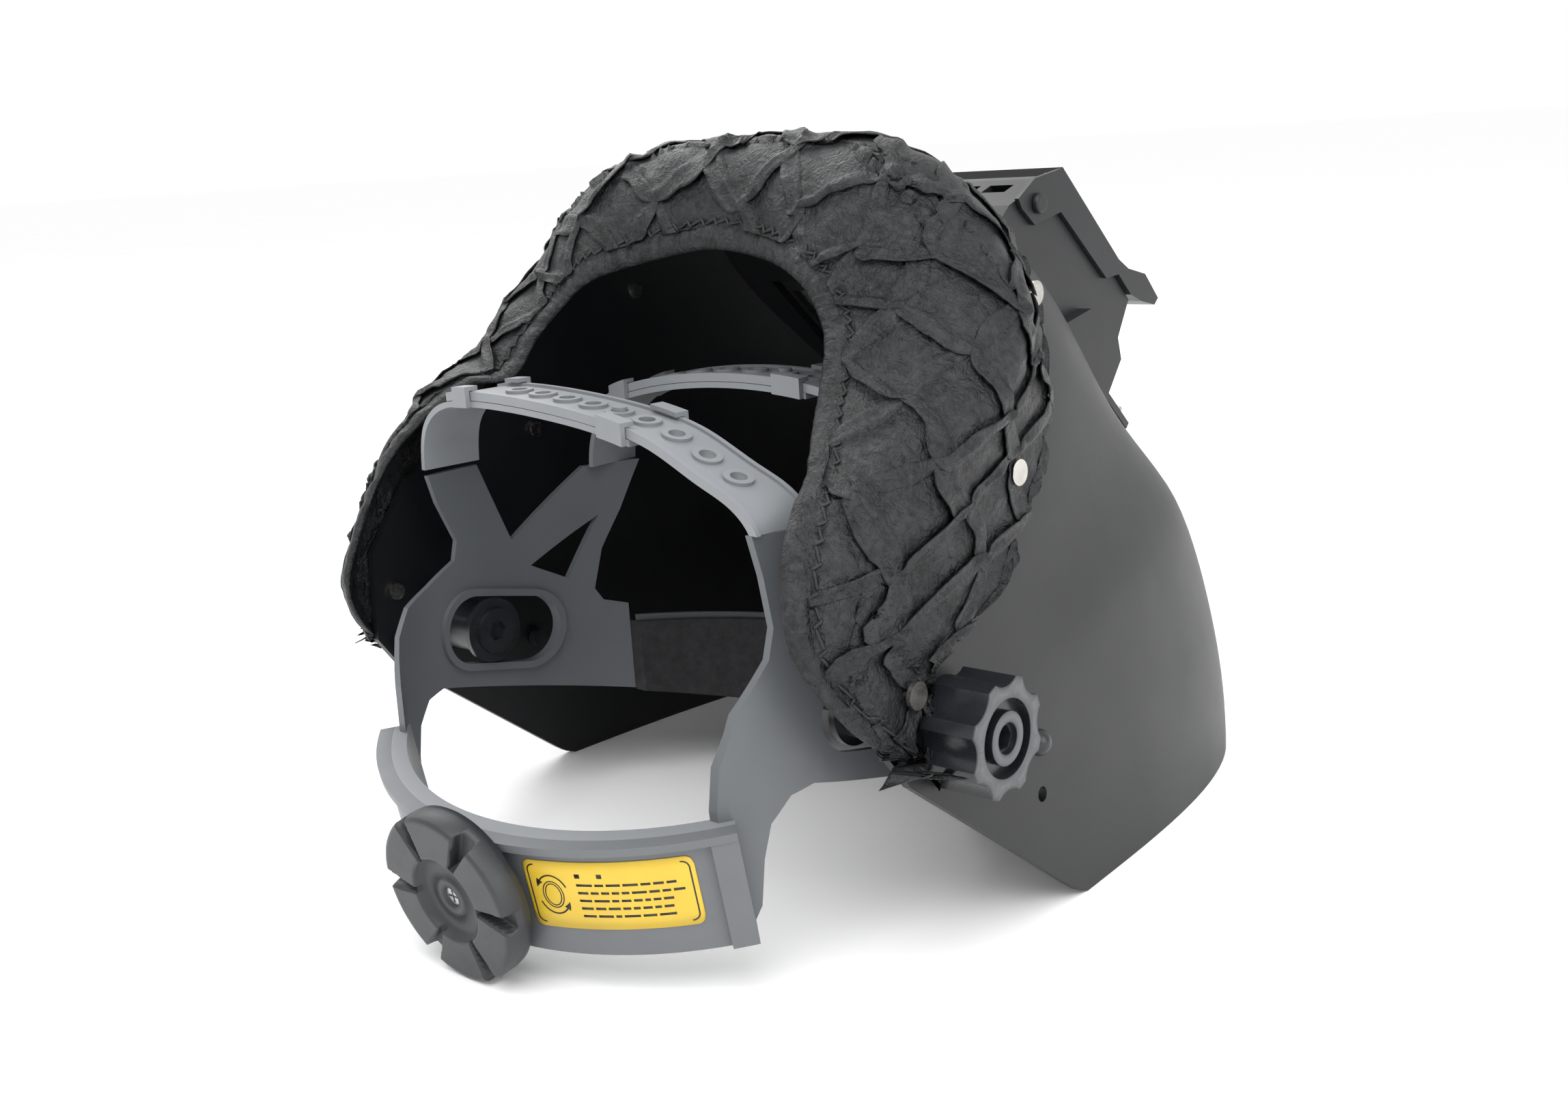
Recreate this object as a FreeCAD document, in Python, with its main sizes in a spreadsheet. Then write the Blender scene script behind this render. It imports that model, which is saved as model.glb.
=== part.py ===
"""Lift-front welding helmet with a leather crown hood and ratchet headgear.

Lengths are millimetres.  Every piece is drawn in the pivot frame: X to the wearer's left,
Y to the rear, Z up, with the origin where the tilt axis crosses the mid-plane.  Placing a
piece moves it to the part's own frame, whose origin is on the surface that it stands on.
"""
import FreeCAD, Part
import math
import os

import Sketcher
from FreeCAD import Placement, Rotation, Vector

doc = FreeCAD.newDocument("lift_front_helmet")

# ---------------------------------------------------------------- driving dimensions
SIZES = {
    "pivot_height": 74.4, "pivot_back": 72.68,
    "shell_wall": 3.0, "shell_half_width": 117.0, "shell_flare": 0.09,
    "fan_back": 75.5, "fan_down": -18.0, "fan_inner": 26.0,
    "window_tilt": 43.4, "window_level": 172.4,
    "leather_thick": 2.4, "leather_gap": 2.2,
    "box_half_width": 57.0, "box_wall": 2.5, "flange_thick": 3.0, "flange_margin": 5.0,
    "lid_level": 44.8, "lid_thick": 4.0, "lid_pin_along": 10.7, "lid_pin_level": 24.4,
    "lid_pin_dia": 4.0,
    "lens_width": 108.0, "lens_depth": 51.0, "filter_thick": 3.2, "cover_thick": 1.6,
    "stud_dia": 9.0, "stud_head_dia": 16.0, "shell_bore_dia": 9.4, "knob_dia": 35.0,
    "knob_long": 17.6, "knob_lobes": 8, "knob_face": 137.0, "knob_bore_dia": 9.16,
    "washer_dia": 27.0, "washer_thick": 1.0, "block_face": 84.6,     "stop_pin_dia": 8.6, "rivet_dia": 8.0,
    "band_thick": 2.2, "band_half": 88.0, "nape_radius": 108.0, "nape_centre": -28.0,
    "nape_tilt": 10.0, "nape_half_height": 18.5, "nape_wall": 1.6, "nape_angle": 46.5,
    "rack_angle": 28.0, "rack_thick": 2.0, "pinion_pitch_radius": 6.0, "pinion_teeth": 12,
    "ratchet_knob_dia": 55.0, "ratchet_knob_thick": 10.0, "ratchet_stem_dia": 6.0,
    "crown_rear": 18.5, "crown_front": -57.0, "crown_width": 22.0, "hole_pitch": 13.1,
    "strap_thick": 2.0,
}

sheet = doc.addObject("Spreadsheet::Sheet", "sizes")
for row, (alias, value) in enumerate(SIZES.items(), start=1):
    sheet.set(f"A{row}", alias)
    sheet.set(f"B{row}", str(value))
    sheet.setAlias(f"B{row}", alias)
doc.recompute()


def size(alias):
    """Return one driving dimension from the sheet."""
    return float(sheet.get(alias))


HOME = Vector(0, size("pivot_back"), size("pivot_height"))
SHELL_WALL = size("shell_wall")
SIDES = (("left", 1), ("right", -1))
sub_parts = []


def settle(obj, label, placement=None):
    """Name a sub-part, move it from the pivot frame to the part's frame and keep it."""
    obj.Label = label
    local = placement or Placement()
    obj.Placement = Placement(HOME, Rotation()).multiply(local)
    sub_parts.append(obj)
    return obj


def piece(label, shape, placement=None):
    """Make a free-form sub-part out of a finished shape."""
    feature = doc.addObject("Part::Feature", label)
    feature.Shape = shape
    return settle(feature, label, (placement or Placement()).multiply(shape.Placement))


def origin_plane(body, role):
    """Find one of a body's own origin planes by its role."""
    return next(item for item in body.Origin.OriginFeatures if item.Role == role)


def new_sketch(body, name, role="XY_Plane", lift=None):
    """Attach an empty sketch to one of the body's own origin planes."""
    sketch = body.newObject("Sketcher::SketchObject", name)
    sketch.AttachmentSupport = [(origin_plane(body, role), "")]
    sketch.MapMode = "FlatFace"
    if lift is not None:
        sketch.AttachmentOffset = Placement(Vector(0, 0, lift), Rotation())
    return sketch


def sketch_circle(sketch, x, y, radius, alias=None, factor=1.0):
    """Draw a circle; with an alias its radius follows that cell times the factor."""
    index = sketch.addGeometry(Part.Circle(Vector(x, y, 0), Vector(0, 0, 1), radius))
    if alias:
        number = sketch.addConstraint(Sketcher.Constraint("Radius", index, radius))
        sketch.setExpression(f"Constraints[{number}]", f"sizes.{alias} * {factor}")


def sketch_outline(sketch, points):
    """Draw a closed outline of straight runs."""
    count = len(points)
    for i in range(count):
        start, end = points[i], points[(i + 1) % count]
        sketch.addGeometry(Part.LineSegment(Vector(*start, 0), Vector(*end, 0)))


def pad(body, sketch, length, alias=None, factor=1.0, backwards=False):
    """Pad a sketch; with an alias its length follows that cell times the factor."""
    feature = body.newObject("PartDesign::Pad", f"{sketch.Name}_pad")
    feature.Profile = sketch
    feature.Length = length
    feature.Reversed = backwards
    if alias:
        feature.setExpression("Length", f"sizes.{alias} * {factor}")
    body.Tip = feature
    return feature


def pocket(body, sketch, length, backwards=False, through=False):
    """Cut a sketch into the body and make sure that it took material away."""
    doc.recompute()
    before = body.Shape.Volume
    feature = body.newObject("PartDesign::Pocket", f"{sketch.Name}_pocket")
    feature.Profile = sketch
    feature.Length = length
    feature.Reversed = backwards
    if through:
        feature.Type = "ThroughAll"
        feature.Midplane = True
    body.Tip = feature
    doc.recompute()
    if body.Shape.Volume > before - 1e-6:
        raise RuntimeError(f"{feature.Name} cuts nothing")
    return feature


def around(body, features, count):
    """Repeat features evenly about the body's own Z axis."""
    pattern = body.newObject("PartDesign::PolarPattern", f"{features[-1].Name}_ring")
    pattern.Originals = features
    pattern.Axis = (origin_axis(body, "Z_Axis"), [""])
    pattern.Angle = 360
    pattern.Occurrences = int(count)
    body.Tip = pattern
    return pattern


def origin_axis(body, role):
    """Find one of a body's own origin axes by its role."""
    return next(item for item in body.Origin.OriginFeatures if item.Role == role)


def spline(points, closed=False):
    """Return a smooth edge through the points."""
    curve = Part.BSplineCurve()
    curve.interpolate([Vector(*p) for p in points], PeriodicFlag=closed)
    return curve.toShape()


def box_between(low, high):
    """Return a box from its lowest to its highest corner."""
    return Part.makeBox(high[0] - low[0], high[1] - low[1], high[2] - low[2], Vector(*low))


def prism_x(outline, x0, x1):
    """Push a closed outline of (y, z) points along X from x0 to x1."""
    points = [Vector(x0, y, z) for y, z in outline]
    face = Part.Face(Part.makePolygon(points + points[:1]))
    return face.extrude(Vector(x1 - x0, 0, 0))


def cylinder_x(radius, x0, x1, y=0.0, z=0.0):
    """Return a cylinder along X between two stations."""
    low, high = min(x0, x1), max(x0, x1)
    return Part.makeCylinder(radius, high - low, Vector(low, y, z), Vector(1, 0, 0))


def mirror(shape):
    """Return the shape's mirror image across the mid-plane."""
    return shape.mirror(Vector(0, 0, 0), Vector(1, 0, 0))


# ---------------------------------------------------------------- face shell
# Ribs fan out about a line behind the wearer's ears.  Each rib is a superellipse whose
# reach and squareness change with the angle above the horizontal.
FAN = Vector(0, size("fan_back"), size("fan_down"))
REACH = ((-22, 330), (0, 317), (12, 292), (20, 274), (30, 261), (40, 249), (50, 232),
         (62, 212), (76, 190))
SQUARENESS = ((-22, 4.2), (0, 4.2), (20, 3.5), (40, 3.8), (60, 3.2), (76, 3.0))
RIB_ANGLES = (-22, -14, -5, 4, 12, 20, 28, 36, 44, 52, 62, 76)
RIB_STEPS = 24


def graded(table, at):
    """Read a smooth value between the stations of a table."""
    for (a0, v0), (a1, v1) in zip(table, table[1:]):
        if at <= a1 or a1 == table[-1][0]:
            t = min(max((at - a0) / (a1 - a0), 0.0), 1.0)
            return v0 + (v1 - v0) * t
    return table[-1][1]


def half_width(z, inset):
    """Half width of the shell's flat sides at a height."""
    return size("shell_half_width") - size("shell_flare") * z - inset


def rib(angle, inset, inner):
    """Return one closed rib: the curved outer line and a straight chord behind it."""
    reach = graded(REACH, angle) - inset
    power = graded(SQUARENESS, angle)
    lift, run = math.sin(math.radians(angle)), math.cos(math.radians(angle))
    start = math.asin(min((inner / reach) ** (power / 2), 1.0))
    points = []
    for i in range(RIB_STEPS + 1):
        turn = start + (math.pi - 2 * start) * i / RIB_STEPS
        out = reach * math.sin(turn) ** (2 / power)
        across = abs(math.cos(turn)) ** (2 / power) * math.copysign(1, math.cos(turn))
        y, z = FAN.y - out * run, FAN.z + out * lift
        points.append((half_width(z, inset) * across, y, z))
    chord = Part.makeLine(Vector(*points[-1]), Vector(*points[0]))
    return Part.Wire([spline(points), chord])


def side_x(y, z, inset=0.0):
    """Half width of the shell's outer face at a place on its side."""
    dy, dz = FAN.y - y, z - FAN.z
    angle = math.degrees(math.atan2(dz, dy))
    reach, power = graded(REACH, angle) - inset, graded(SQUARENESS, angle)
    ratio = min((math.hypot(dy, dz) / reach) ** power, 1.0)
    return half_width(z, inset) * (1 - ratio) ** (1 / power)


TILT = math.radians(size("window_tilt"))
DOWN = Vector(0, -math.cos(TILT), -math.sin(TILT))
OUT = Vector(0, -math.sin(TILT), math.cos(TILT))


def window(x, along, level):
    """A point given by the window's own axes: across, down the face, out of the face."""
    return Vector(x, 0, 0) + DOWN * along + OUT * (size("window_level") + level)


def window_prism(outline, x0, x1):
    """Push an outline of (along, level) points across the face from x0 to x1."""
    points = [window(x0, along, level) for along, level in outline]
    face = Part.Face(Part.makePolygon(points + points[:1]))
    return face.extrude(Vector(x1 - x0, 0, 0))


def window_slab(half, top, bottom, low, high):
    """Return a slab lying parallel to the window."""
    return window_prism(((top, low), (bottom, low), (bottom, high), (top, high)), -half, half)


REAR_EDGE = ((19.7, -12.1), (28, -1), (28, 31), (12, 56), (-30, 84), (-58, 112), (-64, 190))
CHIN_CORNER = (-55.0, -69.5)
BOTTOM = -size("pivot_height")


def hull_volume(inset, inner):
    """Return the filled body of the shell, its window land already flat."""
    ribs = [rib(angle, inset, inner) for angle in RIB_ANGLES]
    solid = Part.makeLoft(ribs, True, False)
    return solid.cut(window_slab(400, -400, 400, -inset, 400))


behind = prism_x([CHIN_CORNER, *REAR_EDGE, (120, 190), (120, -140), (-62, -140),
                  (-62, BOTTOM)], -200, 200)
below = box_between((-200, -400, -200), (200, 200, BOTTOM))
outer_hull = hull_volume(0.0, size("fan_inner"))
inner_hull = hull_volume(SHELL_WALL, size("fan_inner") - 12.0)
shell = outer_hull.cut(inner_hull).cut(behind).cut(below)

WINDOW_TOP, WINDOW_BOTTOM = 16.0, 80.0
WINDOW_HALF = 52.0
opening = window_slab(WINDOW_HALF, WINDOW_TOP, WINDOW_BOTTOM, -25, 15)
bore_radius = size("shell_bore_dia") / 2
STOP_PIN = (-45.0, -19.0)
SPARE_HOLE = (-43.5, -35.0)
SPARE_HOLE_RADIUS = 2.4
STOP_STEM_RADIUS = 2.0
# A flat round land under each knob's washer.
LAND_RADIUS, LAND_FACE = 14.6, 118.3
for side in (1, -1):
    shell = shell.fuse(cylinder_x(LAND_RADIUS, side * 114.6, side * LAND_FACE))
SCREWS = [(side * 59.3, along) for side in (1, -1) for along in (-8.0, 103.0)]
SCREW_RADIUS = 1.5
for x, along in SCREWS:
    shell = shell.cut(Part.makeCylinder(SCREW_RADIUS, 30, window(x, along, -15), OUT))
shell = shell.cut(opening)
shell = shell.cut(cylinder_x(bore_radius, -160, 160))
shell = shell.cut(cylinder_x(STOP_STEM_RADIUS, -160, 160, *STOP_PIN))
shell = shell.cut(cylinder_x(SPARE_HOLE_RADIUS, -160, 160, *SPARE_HOLE))
RIVETS = ((19.5, 15.5), (-46.0, 64.5), (-86.0, 113.0))
RIVET_STEM_RADIUS = 1.6
for rivet_y, rivet_z in RIVETS:
    shell = shell.cut(cylinder_x(RIVET_STEM_RADIUS, -160, 160, rivet_y, rivet_z))
piece("face_shell", shell)

# ---------------------------------------------------------------- lens box on the window
box_half = size("box_half_width")
box_wall = size("box_wall")
flange = size("flange_thick")

LID_UNDER = size("lid_level") + flange - size("lid_thick")
BOX_REAR, BOX_FRONT_FOOT = -2.0, 95.0
box_outline = ((BOX_REAR, flange), (-0.3, 17.5), (11.6, 39.5), (13.0, LID_UNDER - 0.4),
               (86.5, LID_UNDER - 0.4), (BOX_FRONT_FOOT, flange))
inner_outline = ((BOX_REAR + box_wall, -4.0), (2.4, 17.5), (14.2, 39.5), (15.4, 60.0),
                 (83.6, 60.0), (84.0, LID_UNDER), (BOX_FRONT_FOOT - box_wall, -4.0))
lens_box = window_prism(box_outline, -box_half, box_half)
lens_box = lens_box.fuse(window_slab(box_half + size("flange_margin"), -15.0, 111.0, 0.3, flange))
lens_box = lens_box.cut(window_prism(inner_outline, box_wall - box_half, box_half - box_wall))
BOSS = ((48.5, flange), (60.0, 19.0), (66.0, 21.0), (82.0, 23.0), (90.0, 18.0), (91.0, flange))
BOSS_OUT = 5.0
for side in (1, -1):
    boss = window_prism(BOSS, side * (box_half - 0.5), side * (box_half + BOSS_OUT))
    lens_box = lens_box.fuse(boss)
VENT_COUNT, VENT_PITCH, VENT_WIDE = 7, 14.0, 10.0
for i in range(VENT_COUNT):
    centre = (i - (VENT_COUNT - 1) / 2) * VENT_PITCH
    vent = window_prism(((-6.0, 29.0), (16.0, 29.0), (16.0, 35.0), (-6.0, 35.0)),
                        centre - VENT_WIDE / 2, centre + VENT_WIDE / 2)
    lens_box = lens_box.cut(vent)
# The lid's tray swings past the top of the rear wall, which is cut down to let it by.
lens_box = lens_box.cut(window_slab(box_half - box_wall, 8.0, 17.0, 41.2, 60.0))
pin_radius = size("lid_pin_dia") / 2
pin_place = (size("lid_pin_along"), size("lid_pin_level") + flange)


def window_rod(radius, x0, x1, along, level):
    """Return a rod across the face."""
    low, high = min(x0, x1), max(x0, x1)
    return Part.makeCylinder(radius, high - low, window(low, along, level), Vector(1, 0, 0))


lens_box = lens_box.cut(window_rod(pin_radius, -90, 90, *pin_place))
LEDGE_TOP, LEDGE_BOTTOM = 20.0, 79.0
ledge = window_slab(box_half - box_wall, BOX_REAR + 1.0, 92.0, 0.3, flange)
ledge = ledge.cut(window_slab(50.0, LEDGE_TOP + 6, LEDGE_BOTTOM - 6, -1.0, flange + 1))
lens_box = lens_box.fuse(ledge)
for x, along in SCREWS:
    hole = Part.makeCylinder(SCREW_RADIUS, 30, window(x, along, -15), OUT)
    lens_box = lens_box.cut(hole)
piece("lens_box", lens_box.removeSplitter())

clear_mid = (LEDGE_TOP + LEDGE_BOTTOM) / 2
lens_half = size("lens_width") / 2
lens_run = size("lens_depth") / 2


def lens(label, thick, level, trim=0.0):
    """Make one rectangular lens plate with its lower face at a level."""
    piece(label, window_slab(lens_half - trim, clear_mid - lens_run, clear_mid + lens_run,
                             level, level + thick))


lens("clear_inner_lens", size("cover_thick"), flange + 0.1, trim=0.3)
clip_level = flange + 0.1 + size("cover_thick")
clip = window_slab(lens_half - 0.3, clear_mid - lens_run, clear_mid + lens_run,
                   clip_level + 0.1, clip_level + 1.3)
clip = clip.cut(window_slab(lens_half - 5, clear_mid - lens_run + 5, clear_mid + lens_run - 5,
                            clip_level - 1, clip_level + 3))
piece("inner_lens_clip", clip)

# The lid is a tray whose two cheeks lie outside the box and turn on the pin.
lid_level = size("lid_level") + flange
lid_thick = size("lid_thick")
LID_HALF = box_half + 2.0
LID_PROFILE = ((15.4, lid_level), (68.0, lid_level + 0.3), (76.0, lid_level + 2.2),
               (87.4, lid_level + 8.6), (101.7, lid_level + 8.0), (101.3, lid_level + 4.3),
               (92.0, lid_level - 1.0), (84.0, lid_level - lid_thick),
               (17.0, lid_level - lid_thick))
LID_WINDOW_TOP, LID_WINDOW_BOTTOM = 26.0, 72.0
lid = window_prism(LID_PROFILE, -LID_HALF, LID_HALF)
lid = lid.cut(window_slab(50.0, LID_WINDOW_TOP, LID_WINDOW_BOTTOM, 30, 90))
CHEEK = ((15.4, lid_level - 0.5), (4.0, 33.0), (0.5, 21.0), (4.5, 19.9), (14.5, 20.9),
         (24.8, 35.2), (65.5, 37.2), (73.3, lid_level - 2.0), (74.0, lid_level - 0.5))
CHEEK_GAP = 0.35
for side in (1, -1):
    cheek = window_prism(CHEEK, side * (box_half + CHEEK_GAP), side * LID_HALF)
    lid = lid.fuse(cheek)
lid = lid.cut(window_rod(pin_radius + 0.06, -90, 90, *pin_place))
tray_outer = window_slab(lens_half + 1.0, 23.0, 77.0, lid_level - lid_thick - 8.0,
                         lid_level - lid_thick + 0.5)
tray_inner = window_slab(lens_half - 0.6, 23.9, 76.1, lid_level - lid_thick - 9.0,
                         lid_level - lid_thick)
clear_of_box = window_slab(box_half - box_wall - 0.5, 23.0, 77.0, 0.0, lid_level)
lid = lid.fuse(tray_outer.cut(tray_inner).common(clear_of_box))
piece("lid_frame", lid.removeSplitter())

lid_lens_half = lens_half - 1.0
LID_LENS_TOP, LID_LENS_BOTTOM = 24.2, 75.8


def lid_plate(label, low, high, rim=None):
    """Make one plate held in the lid's tray; a rim leaves its middle open."""
    plate = window_slab(lid_lens_half, LID_LENS_TOP, LID_LENS_BOTTOM, low, high)
    if rim:
        plate = plate.cut(window_slab(lid_lens_half - rim, LID_LENS_TOP + rim,
                                      LID_LENS_BOTTOM - rim, low - 1, high + 1))
    piece(label, plate)


tray_level = lid_level - lid_thick
lid_plate("lid_cover_lens", tray_level - 1.7, tray_level - 0.1)
lid_plate("filter_gasket", tray_level - 2.6, tray_level - 1.8, rim=5.0)
lid_plate("dark_filter", tray_level - 2.7 - size("filter_thick"), tray_level - 2.7)
lid_plate("filter_spring", tray_level - 7.6, tray_level - 6.1, rim=3.5)

PIN_HEAD_RADIUS, PIN_HEAD_THICK = 3.6, 2.0
hinge_pin = window_rod(pin_radius, -(LID_HALF + 0.4), LID_HALF + 0.4, *pin_place)
for side in (1, -1):
    head = window_rod(PIN_HEAD_RADIUS, side * (LID_HALF + 0.4),
                      side * (LID_HALF + 0.4 + PIN_HEAD_THICK), *pin_place)
    rim_edges = [edge for edge in head.Edges if edge.Closed
                 and abs(abs(edge.CenterOfMass.x) - LID_HALF - 0.4 - PIN_HEAD_THICK) < 0.01]
    hinge_pin = hinge_pin.fuse(head.makeFillet(1.2, rim_edges))
piece("lid_hinge_pin", hinge_pin.removeSplitter())

screws = []
for x, along in SCREWS:
    stem = Part.makeCylinder(SCREW_RADIUS, flange + 1.6, window(x, along, -1.2), OUT)
    head = Part.makeCylinder(2.4, 1.6, window(x, along, flange + 0.05), OUT)
    screws.append(stem.fuse(head))
piece("box_screws", Part.makeCompound(screws))

# ---------------------------------------------------------------- leather crown hood
# Each station gives the front edge (y, z), the line over the shell's rear edge (y, z) and
# the free rear edge (x, y, z).
HOOD = (
    ((-106, 139), (-66, 155.5), (0, -40.5, 129.6)),
    ((-106, 139), (-66, 154), (25, -38.1, 126.3)),
    ((-103, 134), (-66, 140), (46, -28.8, 120.6)),
    ((-94, 116), (-62, 115), (56, -24.1, 112.9)),
    ((-88, 103), (-50, 98), (63, -18.2, 103.4)),
    ((-80, 86), (-36, 84), (67, -9.0, 91.0)),
    ((-72, 72), (-18, 75), (74, 3.0, 82.1)),
    ((-60, 58), (-4, 66), (84, 18.5, 73.5)),
    ((-46, 46), (12, 55), (92, 34.8, 66.8)),
    ((-33, 33), (22, 42), (99, 47.9, 55.8)),
    ((-8, 22.5), (26, 27), (102.6, 52.2, 37.0)),
    ((-8, 11), (23, 15), (105, 45.9, 22.6)),
    ((-2, 0), (18, 3), (110, 35.0, 7.0)),
    ((9, -9), (14, -8), (116.5, 21.0, -6.0)),
)
# The left side falls closer to the head than the right.
HOOD_LEFT_REAR = {6: (79, 1.0, 89.0), 7: (88, 14.0, 79.0), 8: (94.5, 23.0, 69.0), 9: (98, 31.0, 57.0),
                  10: (100.5, 40.0, 38.0), 11: (104, 43.0, 22.6)}
HOOD_PUFF = (1, 2, 6, 10, 12, 12, 10, 6, 3, 1, 0, 0, 0, 0)
HOOD_CROWN_HALF = (0.0, 30.0, 66.0)


def crown_point(x, y, gap):
    """A point over the crown, found by walking up until the shell is left behind."""
    low, high = 60.0, 175.0
    for _ in range(24):
        middle = (low + high) / 2
        if side_x(y, middle) > abs(x):
            low = middle
        else:
            high = middle
    plane = (size("window_level") - OUT.y * y) / OUT.z
    return Vector(x, y, min(low, plane) + gap)


def hood_section(station, gap, side):
    """Return the five points across the hood at one station, lifted off by a gap."""
    front, over, rear = HOOD[station]
    if side > 0:
        rear = HOOD_LEFT_REAR.get(station, rear)
    rear = Vector(*rear)
    half = ((front[0] + over[0]) / 2, (front[1] + over[1]) / 2)
    if station < len(HOOD_CROWN_HALF):
        x = HOOD_CROWN_HALF[station]
        first = crown_point(x, front[0], gap * 1.2)
        last = crown_point(x * 0.97, over[0], gap * 1.1)
        middle = crown_point(x * 0.99, half[0], gap * 1.1)
        out = Vector(0.25 * x / 66.0, 0.35, 0.9)
    else:
        first, middle, last = [Vector(side_x(*at) + gap, *at) for at in (front, half, over)]
        out = Vector(0.85, 0.35, 0.2)
    out.normalize()
    puff = Vector(0.75, 0.15, 0.6) * HOOD_PUFF[station]
    bulge = (last + rear) * 0.5 + out * (0.16 * (rear - last).Length + gap) + puff * 0.75
    row = [first, middle + puff * 0.5, last + puff, bulge, rear + out * gap]
    return [Vector(side * p.x, p.y, p.z) for p in row]


def hood_skin(gap):
    """Return the hood's points from its right foot over the crown to its left foot."""
    right = [hood_section(i, gap, -1) for i in range(len(HOOD) - 1, 0, -1)]
    return right + [hood_section(i, gap, 1) for i in range(len(HOOD))]


def skin_face(points):
    """Return one smooth face through a grid of points."""
    surface = Part.BSplineSurface()
    surface.interpolate(points)
    return surface.toShape()


def thick_skin(low, high):
    """Return the solid between two grids of points."""
    faces = [skin_face(low), skin_face(high)]
    lower_edges, upper_edges = faces[0].Edges, faces[1].Edges
    for edge in lower_edges:
        middle = edge.valueAt((edge.FirstParameter + edge.LastParameter) / 2)
        near = min(upper_edges, key=lambda other: other.valueAt(
            (other.FirstParameter + other.LastParameter) / 2).distanceToPoint(middle))
        faces.append(Part.makeRuledSurface(edge, near))
    shell_of_faces = Part.makeShell(faces)
    shell_of_faces.sewShape()
    return Part.makeSolid(Part.Shell(shell_of_faces.Faces))


skin_low = hood_skin(size("leather_gap"))
skin_high = hood_skin(size("leather_gap") + size("leather_thick"))
KNOB_CLEAR = 19.8
hood = thick_skin(skin_low, skin_high).cut(cylinder_x(KNOB_CLEAR, -160, 160))
for rivet_y, rivet_z in RIVETS:
    hood = hood.cut(cylinder_x(RIVET_STEM_RADIUS, -160, 160, rivet_y, rivet_z))
piece("leather_hood", hood)

rivets = []
for rivet_y, rivet_z in RIVETS:
    face = side_x(rivet_y, rivet_z)
    out = face + size("leather_gap") + size("leather_thick")
    inside = side_x(rivet_y, rivet_z, SHELL_WALL)
    for side in (1, -1):
        stem = cylinder_x(RIVET_STEM_RADIUS, side * (inside - 1.0), side * (out + 0.8),
                          rivet_y, rivet_z)
        cap = cylinder_x(size("rivet_dia") / 2, side * (out + 0.4), side * (out + 1.8),
                         rivet_y, rivet_z)
        foot = cylinder_x(3.0, side * (inside - 1.8), side * (inside - 0.3), rivet_y, rivet_z)
        rivet = stem.fuse([cap, foot]).cut(shell).cut(hood)
        rivets.append(max(rivet.Solids, key=lambda solid: solid.Volume))
piece("hood_rivets", Part.makeCompound(rivets))

pin_face = side_x(*STOP_PIN)
for name, side in SIDES:
    stem = cylinder_x(STOP_STEM_RADIUS, side * (pin_face - 7.0), side * (pin_face + 0.5), *STOP_PIN)
    dome = Part.makeSphere(size("stop_pin_dia") / 2, Vector(side * (pin_face - 0.6), *STOP_PIN))
    outside = box_between((pin_face + 0.1, -80, -60), (pin_face + 9, 0, 20))
    dome = dome.common(outside if side > 0 else mirror(outside))
    foot = cylinder_x(3.4, side * (pin_face - 7.0), side * (pin_face - 3.6), *STOP_PIN)
    piece(f"stop_pin_{name}", stem.fuse([dome, foot]).cut(shell).removeSplitter())

# ---------------------------------------------------------------- tilt pivots
knob_face = size("knob_face")
knob_long = size("knob_long")
stud_radius = size("stud_dia") / 2
block_face = size("block_face")

HEX_RADIUS = 3.8
BLOCK_END = 112.6


def hexagon_x(radius, x0, x1):
    """Return a hexagonal bar along X."""
    points = [Vector(x0, radius * math.cos(i * math.pi / 3), radius * math.sin(i * math.pi / 3))
              for i in range(6)]
    return Part.Face(Part.makePolygon(points + points[:1])).extrude(Vector(x1 - x0, 0, 0))


for name, side in SIDES:
    stud = cylinder_x(stud_radius, side * 82.0, side * (knob_face - 1.5))
    head = cylinder_x(size("stud_head_dia") / 2, side * 80.6, side * 84.4)
    stud = stud.fuse(head).cut(hexagon_x(HEX_RADIUS, side * (knob_face - 9.0),
                                         side * (knob_face + 1.0)))
    stud = stud.cut(hexagon_x(HEX_RADIUS, side * 79.0, side * 83.0))
    piece(f"pivot_stud_{name}", stud.removeSplitter())

    disc = cylinder_x(11.6, side * 82.4, side * block_face)
    disc = disc.cut(cylinder_x(size("stud_head_dia") / 2 + 0.1, side * 80, side * 84.45))
    body = cylinder_x(9.0, side * 84.5, side * BLOCK_END)
    block = body.fuse(disc).cut(cylinder_x(stud_radius + 0.02, side * 70, side * 130))
    piece(f"slide_block_{name}", block.removeSplitter())

    washer = cylinder_x(size("washer_dia") / 2, side * (LAND_FACE + 0.04),
                        side * (LAND_FACE + 0.04 + size("washer_thick")))
    washer = washer.cut(cylinder_x(stud_radius + 0.1, side * 70, side * 160))
    piece(f"friction_washer_{name}", washer)

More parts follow.
